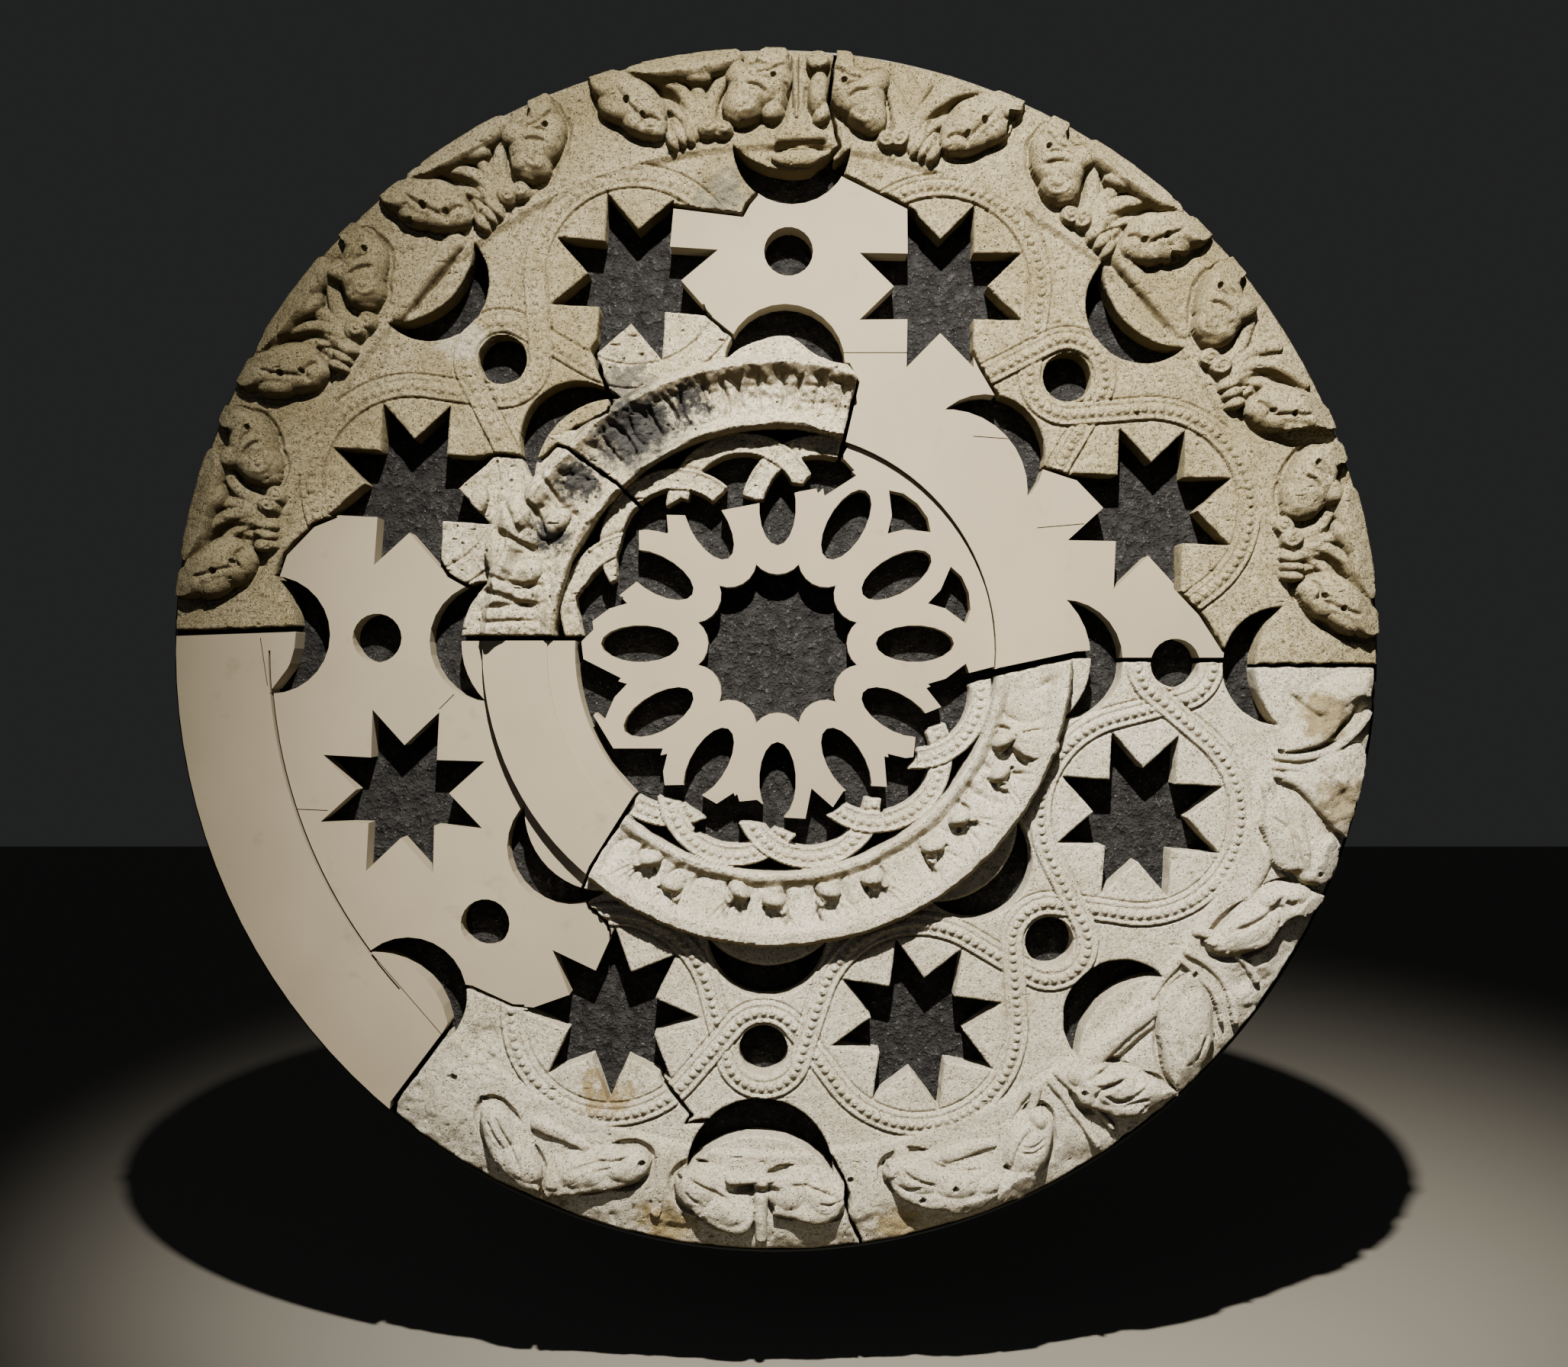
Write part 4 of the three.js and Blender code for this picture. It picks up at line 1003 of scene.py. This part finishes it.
def carved_block(name, inside, height, low, high, cell, rows=3, ragged=0.0, keep=1.0):
    """A block whose front is a height field. Its front is the clipped grid at height(x, z,
    distance from the edge), its sides fall in rows from the edge to the backing plate, and
    its back is one flat face. Sizes in millimetres, heights from the front of the plate.
    Where keep is under 1, that share of the triangles stays, most of them in the carving."""
    x, z, edge, triangles, rim = pierced_face(inside, low, high, cell)
    h = height(x, z, edge)
    used = np.unique(rim)
    column = np.full(len(x), -1)
    column[used] = np.arange(len(used))
    vx, vz, vh = [x], [z], [h]
    for row in range(1, rows + 1):
        share = row / rows
        depth = back_gap + (h[used] - back_gap) * (1 - share)
        shift = ragged * math.sin(math.pi * min(share, 0.9))
        vx.append(x[used] + shift * wear_noise(x[used] + 9 * row, z[used], 18, 2, 71))
        vz.append(z[used] + shift * wear_noise(x[used], z[used] + 9 * row, 18, 2, 83))
        vh.append(depth)

    def ring(row, v):
        return v if row == 0 else len(x) + (row - 1) * len(used) + column[v]

    quads = [np.stack([ring(r, rim[:, 0]), ring(r + 1, rim[:, 0]), ring(r + 1, rim[:, 1]),
                       ring(r, rim[:, 1])], 1) for r in range(rows)]
    quads = np.concatenate(quads)
    field = np.setdiff1d(np.arange(len(x)), used)
    back = np.full(len(x), -1)
    back[used] = ring(rows, used)
    back[field] = len(x) + rows * len(used) + np.arange(len(field))
    vx, vz = np.concatenate(vx + [x[field]]), np.concatenate(vz + [z[field]])
    vh = np.concatenate(vh + [np.full(len(field), back_gap)])
    triangles = np.concatenate([triangles, back[triangles][:, ::-1]])
    points = np.stack([vx, -(plate_front + vh), vz], 1) * MM
    mesh = bpy.data.meshes.new(name)
    mesh.vertices.add(len(points))
    mesh.vertices.foreach_set("co", points.ravel())
    loops = np.concatenate([triangles.ravel(), quads.ravel()])
    sizes = np.concatenate([np.full(len(triangles), 3), np.full(len(quads), 4)])
    starts = np.concatenate([[0], np.cumsum(sizes)[:-1]])
    mesh.loops.add(len(loops))
    mesh.loops.foreach_set("vertex_index", loops.astype(np.int32))
    mesh.polygons.add(len(sizes))
    mesh.polygons.foreach_set("loop_start", starts.astype(np.int32))
    mesh.update(calc_edges=True)
    piece = bpy.data.objects.new(name, mesh)
    bpy.context.scene.collection.objects.link(piece)
    if keep < 1:
        thinning = piece.modifiers.new("thinning", "DECIMATE")
        thinning.ratio = keep
        seen = bpy.context.evaluated_depsgraph_get()
        piece.data = bpy.data.meshes.new_from_object(piece.evaluated_get(seen))
        piece.modifiers.clear()
        bpy.data.meshes.remove(mesh)
        piece.data.name = name
    piece.data.shade_smooth()
    piece.data.set_sharp_from_angle(angle=math.radians(sharp_angle))
    return piece


# Granite: coarse feldspar and mica. Pale crystals and dark flecks of several millimetres,
# drawn coarser than they are so that they show, give the eye a matt grain. Sizes of the
# patterns are in millimetres, depths and the reach of stains in metres.
patch_size, mottle_size, grain_size, fine_size = 200, 29.4, 6.67, 2.38
crystal_size, fleck_size = 4.76, 8.33


def granite_finish(name, light, dark, grain, crystal, fleck, painted_shade, stains):
    """Hewn granite: broad patches of two tones, coarse grains, pale crystals and dark
    flecks, with painted shade, browner, on faces that look down, and soft stains given as a
    centre, a reach and a colour."""
    material, shader, place = new_finish(name, 0.93, 0.25)
    patches, mottle, grains, fine = [
        add(material, "ShaderNodeTexNoise", [("Vector", place)], "Fac", Scale=1000 / size,
            Detail=detail, Roughness=rough)
        for size, detail, rough in ((patch_size, 4, 0.6), (mottle_size, 6, 0.7),
                                    (grain_size, 4, 0.75), (fine_size, 2, 0.6))]
    crystals, flecks = [
        add(material, "ShaderNodeTexVoronoi", [("Vector", place)], "Distance", Scale=1000 / size)
        for size in (crystal_size, fleck_size)]
    tone = tint(material, patches, light, dark, 0.42, 0.64)
    tone = tint(material, mottle, tone, dark, 0.5, 0.7)
    tone = tint(material, grains, grain, tone, 0.36, 0.52)
    tone = tint(material, crystals, crystal, tone, 0.12, 0.2)
    tone = tint(material, flecks, fleck, tone, 0.12, 0.24)
    # Painted shade: faces that look down pass to the darker brown shade colour.
    direction = add(material, "ShaderNodeNewGeometry", output="Normal")
    upward = add(material, "ShaderNodeSeparateXYZ", [(0, direction)], "Z")
    tone = tint(material, upward, painted_shade, tone, -0.8, -0.25)
    for centre, reach, colour in stains:
        away = add(material, "ShaderNodeVectorMath", [(0, place)], operation="DISTANCE")
        away.inputs[1].default_value = centre
        blot = add(material, "ShaderNodeMath", [(0, mottle)], operation="MULTIPLY_ADD")
        blot.inputs[1].default_value = 0.2
        material.node_tree.links.new(away.outputs["Value"], blot.inputs[2])
        tone = tint(material, blot.outputs[0], colour, tone, 0.1 + 0.6 * reach, 0.1 + 1.15 * reach)
    material.node_tree.links.new(tone, shader.inputs["Base Color"])
    hewn = add(material, "ShaderNodeBump", [("Height", mottle)], "Normal", Strength=1.0, Distance=0.034)
    for height, depth in ((grains, 0.016), (fine, 0.003)):
        hewn = add(material, "ShaderNodeBump", [("Height", height), ("Normal", hewn)], "Normal",
                   Strength=1.0, Distance=depth)
    material.node_tree.links.new(hewn, shader.inputs["Normal"])
    return material


# Warm yellow grey at the top, pale at the foot, and slate coloured crusts on
# the two pieces of the inner ring.
granite_warm = granite_finish(
    "warm_granite", "#C6BC9C", "#A89D7A", "#83785A", "#E4DCC5", "#454135", "#7B6D4E",
    [((-0.104, -0.12, 0.912), 0.05, "#8A8674"), ((-0.62, -0.1, 0.62), 0.05, "#D2CAB4")])
granite_pale = granite_finish(
    "pale_granite", "#F0EBDB", "#DDD6C1", "#BBB196", "#FAF8F1", "#6A6353", "#8F7F5C",
    [((1.092, -0.12, -0.132), 0.055, "#A99C7B"), ((1.13, -0.11, -0.3), 0.065, "#A3977A"),
     ((-0.344, -0.09, -0.891), 0.05, "#AA9872"), ((0.25, -0.09, -1.15), 0.05, "#B09F78"),
     ((-0.22, -0.09, -1.15), 0.06, "#AE9C74"), ((-0.47, -0.1, -1.1), 0.04, "#A99976")])
slate = "#4C4C4B"
granite_stained = granite_finish(
    "stained_granite", "#EDE6CF", "#D0C7AA", "#A69B80", "#F8F4E8", "#5A5444", "#86775A", [
    ((-0.285, -0.12, 0.445), 0.1, slate), ((-0.176, -0.12, 0.494), 0.045, slate),
    ((-0.394, -0.12, 0.342), 0.05, slate), ((-0.448, -0.12, 0.238), 0.045, slate),
    ((-0.307, -0.12, 0.543), 0.04, "#77736A")])

beyond = window_radius + 60
# Broken joints, each shared by the pieces on its two sides, and the broken ends of the
# arc bands.
joints = {
    "top": [(117, beyond), (117, 1180), (105, 1092), (128, 1005)],
    "top_break": [(-40, 912), (-56, 893), (-68, 871), (-206, 888)],
    "left_top": [(-366, 600), (-361, 588), (-328, 493), (-332, 470)],
    "left_ring": [(-470, 380), (-498, 385), (-560, 391), (-600, 384)],
    "left_corner": [(-880, 268), (-925, 250), (-981, 192), (-995, 150)],
    "left_border": [(-940, 46), (-975, 44), (-beyond, 34)],
    "ring_split": [(-250, 284), (-274, 291), (-317, 332), (-422, 405), (-470, 428)],
    "lower_tooth": [(-668, 170), (-655, 150), (-612, 126), (-600, 110)],
    "ring_foot": [(-380, 25), (-640, 25)],
    "fill_top": [(-146, 690), (-140, 672), (-87, 629), (-76, 610)],
    "ring_end": [(110, 575), (145, 571), (163, 536), (134, 411), (128, 385)],
    "right_top": [(118, 958), (140, 946), (263, 885), (280, 870)],
    "right_tooth": [(396, 590), (407, 566), (440, 510), (445, 480)],
    "right_arch": [(500, 375), (527, 367), (584, 348), (610, 340)],
    "right_corner": [(798, 140), (798, 125), (847, 73), (894, 0), (920, -15)],
    "right_border": [(930, -30), (beyond, -30)],
    "level_bed": [(905, -20), (670, -20)],
    "wheel_bed": [(625, -10), (600, -12), (449, -44), (383, -66)],
    "bottom": [(190, -beyond), (168, -1180), (142, -1122), (139, -1063), (106, -1006)],
    "lower_star": [(-180, -945), (-169, -929), (-225, -856), (-236, -830)],
    "corner_joint": [(-505, -712), (-527, -711), (-608, -674), (-632, -670)],
    "border_end": [(-646, -742), (-660, -765), (-763, -902), (-800, -beyond)],
    "upper_star": [(-334, -560), (-338, -543), (-387, -499), (-398, -488)],
    "ring_tip": [(-390, -484), (-368, -431), (-280, -291), (-270, -280)],
}
lower_stubs = [
    (-183, -302), (-125, -342), (-160, -362), (-85, -345), (-66, -338), (-3, -350), (44, -366),
    (70, -340), (112, -322), (134, -306), (181, -292), (213, -294), (212, -325), (235, -260),
    (280, -215), (277, -200), (305, -151), (345, -135), (350, -165), (370, -120),
]
upper_stubs = [
    (110, 374), (85, 370), (55, 330), (3, 335), (10, 300), (-40, 298), (-80, 312), (-80, 340),
    (-105, 312), (-140, 285), (-190, 300), (-216, 284),
]
left_stubs = [
    (-390, 60), (-398, 106), (-362, 150), (-348, 120), (-318, 140), (-316, 190), (-300, 240),
]


def star_centre(bay):
    """The middle of a star, where an outline passes through the opening."""
    return polar(motif_radius, bay_angle(bay + 0.5))


def in_crescent(distance, bay):
    """A place in a crescent, where an outline passes through the opening."""
    return polar(distance, bay_angle(bay))


def back(name):
    """A joint taken the other way round, for the piece on its other side."""
    return joints[name][::-1]


def stone_piece(node, outline, finish, cell, crisp, wear, seed, keep, upper_nodes=(), lower=False):
    """One fragment: the stone pattern within its outline, with a ragged broken edge. Cell is
    the step of its grid, crisp and wear how sharp and how rough its carving is."""
    (low_x, _, low_z), (high_x, _, high_z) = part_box(node)
    outline = np.asarray(outline, float)

    def inside(x, z):
        hewn = stone_room(x, z) + 1.0 * wear_noise(x, z, 26, 2, seed)
        broken = outline_room(x, z, outline) - 4.0 + 3.0 * wear_noise(x, z, 22, 3, seed + 3)
        return np.minimum(hewn, broken)

    def height(x, z, edge):
        return carved_height(x, z, edge, crisp, upper_nodes, lower, wear, seed)

    piece = carved_block(node + "_stone", inside, height, (low_x / MM, low_z / MM),
                         (high_x / MM, high_z / MM), cell, ragged=2.0, keep=keep)
    piece.data.materials.append(finish)
    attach(piece, "root")
    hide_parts(node)


# The upper stones have units of leaves, each at an angle, running one way round, most with
# a long leaf at the rim. The lower stones have the worn leaves of the lower border.
inner_gap, outer_gap = 655, 925
stone_piece(
    "granite_upper_left", [
        *joints["top"], in_crescent(outer_gap, 2), *joints["top_break"], star_centre(2),
        *joints["left_top"], (-400, 445), *joints["left_ring"], star_centre(3),
        *joints["left_corner"], (-930, 100), *joints["left_border"], (-beyond, beyond)],
    granite_warm, cell=2.5, crisp=0.45, wear=1.0, seed=11, keep=0.34,
    upper_nodes=[(98.3, 1, True), (121.5, 1, True), (143.8, 1, True), (165.2, 1, True)])
stone_piece(
    "granite_upper_right", [
        (117, beyond), (beyond, beyond), *back("right_border"), in_crescent(outer_gap, 0),
        *back("right_corner"), star_centre(0), *back("right_arch"), in_crescent(inner_gap, 1),
        *back("right_tooth"), star_centre(1), *back("right_top"), (110, 985), *back("top")[:-1]],
    granite_warm, cell=2.5, crisp=0.85, wear=1.0, seed=23, keep=0.34,
    upper_nodes=[(75.4, -1, False), (53.5, -1, True), (31.5, -1, False), (11.2, -1, True)])
stone_piece(
    "granite_lower_right", [
        *back("right_border"), *joints["level_bed"], (640, -16), *joints["wheel_bed"],
        *lower_stubs[::-1], *back("ring_tip"), *back("upper_star"), star_centre(5),
        *back("lower_star"), in_crescent(outer_gap, 6), *back("bottom"), (beyond, -beyond)],
    granite_pale, cell=2.7, crisp=1.0, wear=0.7, seed=37, keep=0.28, lower=True)
stone_piece(
    "granite_bottom", [
        *joints["bottom"], in_crescent(outer_gap, 6), *joints["lower_star"], star_centre(5),
        *joints["corner_joint"], in_crescent(outer_gap, 5), *joints["border_end"]],
    granite_pale, cell=2.5, crisp=0.9, wear=0.9, seed=41, keep=0.36, lower=True)
stone_piece(
    "granite_ring_left", [
        *joints["ring_split"], (-440, 410), *joints["left_ring"], star_centre(3),
        *joints["lower_tooth"], (-640, 60), *back("ring_foot"), *left_stubs],
    granite_stained, cell=2.3, crisp=0.2, wear=1.8, seed=53, keep=0.4)
stone_piece(
    "granite_ring_top", [
        *joints["ring_end"], *upper_stubs, *joints["ring_split"], (-400, 445), *back("left_top"),
        star_centre(2), *joints["fill_top"], (18, 640)],
    granite_stained, cell=2.3, crisp=0.1, wear=1.5, seed=67, keep=0.4)

# Fill boards: panels sawn to the same openings and painted a flat grey beige, so that they
# complete the pattern without copying the carving. They are the solids of the frame.

# Emulsion paint on board: matt, rolled on, with slow drifts of tone and a few smudges.
# Sizes in millimetres, the stipple of the roller at its real size.
drift_size, smudge_size, stipple_size = 333, 62.5, 2.38
board_paint, shader, place = new_finish("matt_beige_paint", 0.8)
drift, stipple, smudge = [
    add(board_paint, "ShaderNodeTexNoise", [("Vector", place)], "Fac", Scale=1000 / size,
        Detail=detail, Roughness=0.6)
    for size, detail in ((drift_size, 3), (stipple_size, 2), (smudge_size, 4))]
paint = tint(board_paint, drift, "#837B69", "#8E8572", 0.3, 0.7)
paint = tint(board_paint, smudge, paint, "#766E5B", 0.62, 0.85)
board_paint.node_tree.links.new(paint, shader.inputs["Base Color"])
rolled = add(board_paint, "ShaderNodeBump", [("Height", stipple)], "Normal", Strength=0.5, Distance=0.0003)
board_paint.node_tree.links.new(rolled, shader.inputs["Normal"])
for node in ("fill_upper_right", "fill_left_tracery", "fill_left_border", "fill_left_ring", "fill_wheel"):
    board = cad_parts[node]
    board.data.materials.clear()
    board.data.materials.append(board_paint)

# Room: a pale floor below the hung window, one strong lamp high in front, whose narrow
# source casts the sharp shadows of the photograph, and a weak light from all round. Metres.
floor_level = -1.5
floor_half = 14.0
key_cone = 47
key_place, key_target = (0.05, -3.4, 2.95), (0.32, 0, -0.3)
fill_place, fill_target = (-1.2, -4.4, 0.6), (0, 0, 0)

floor_mesh = bpy.data.meshes.new("floor")
floor_mesh.from_pydata([(-floor_half, -floor_half, floor_level), (floor_half, -floor_half, floor_level),
                        (floor_half, floor_half, floor_level), (-floor_half, floor_half, floor_level)],
                       [], [(0, 1, 2, 3)])
floor = bpy.data.objects.new("floor", floor_mesh)
bpy.context.scene.collection.objects.link(floor)
floor_paint, shader, place = new_finish("pale_floor", 0.8)
shader.inputs["Base Color"].default_value = linear("#77756F")
floor_mesh.materials.append(floor_paint)


def hang_lamp(name, kind, location, target, power, colour):
    """Hangs a lamp so that it looks at its target."""
    data = bpy.data.lights.new(name, kind)
    data.energy = power
    data.color = linear(colour)[:3]
    light = bpy.data.objects.new(name, data)
    light.location = location
    dx, dy, dz = [t - p for t, p in zip(target, location)]
    light.rotation_euler = (math.atan2(math.hypot(dx, dy), -dz), 0, math.pi + math.atan2(dx, -dy))
    bpy.context.scene.collection.objects.link(light)
    return data


key = hang_lamp("key", "SPOT", key_place, key_target, 4100, "#FFF6E6")
key.shadow_soft_size = 0.05
key.spot_size = math.radians(key_cone)
key.spot_blend = 1.0
fill = hang_lamp("fill", "AREA", fill_place, fill_target, 9, "#F4F2FF")
fill.size = 2.4
world = bpy.data.worlds.new("room")
world.use_nodes = True
world.node_tree.nodes["Background"].inputs["Color"].default_value = linear("#D8DADC")
world.node_tree.nodes["Background"].inputs["Strength"].default_value = 0.03
bpy.context.scene.world = world
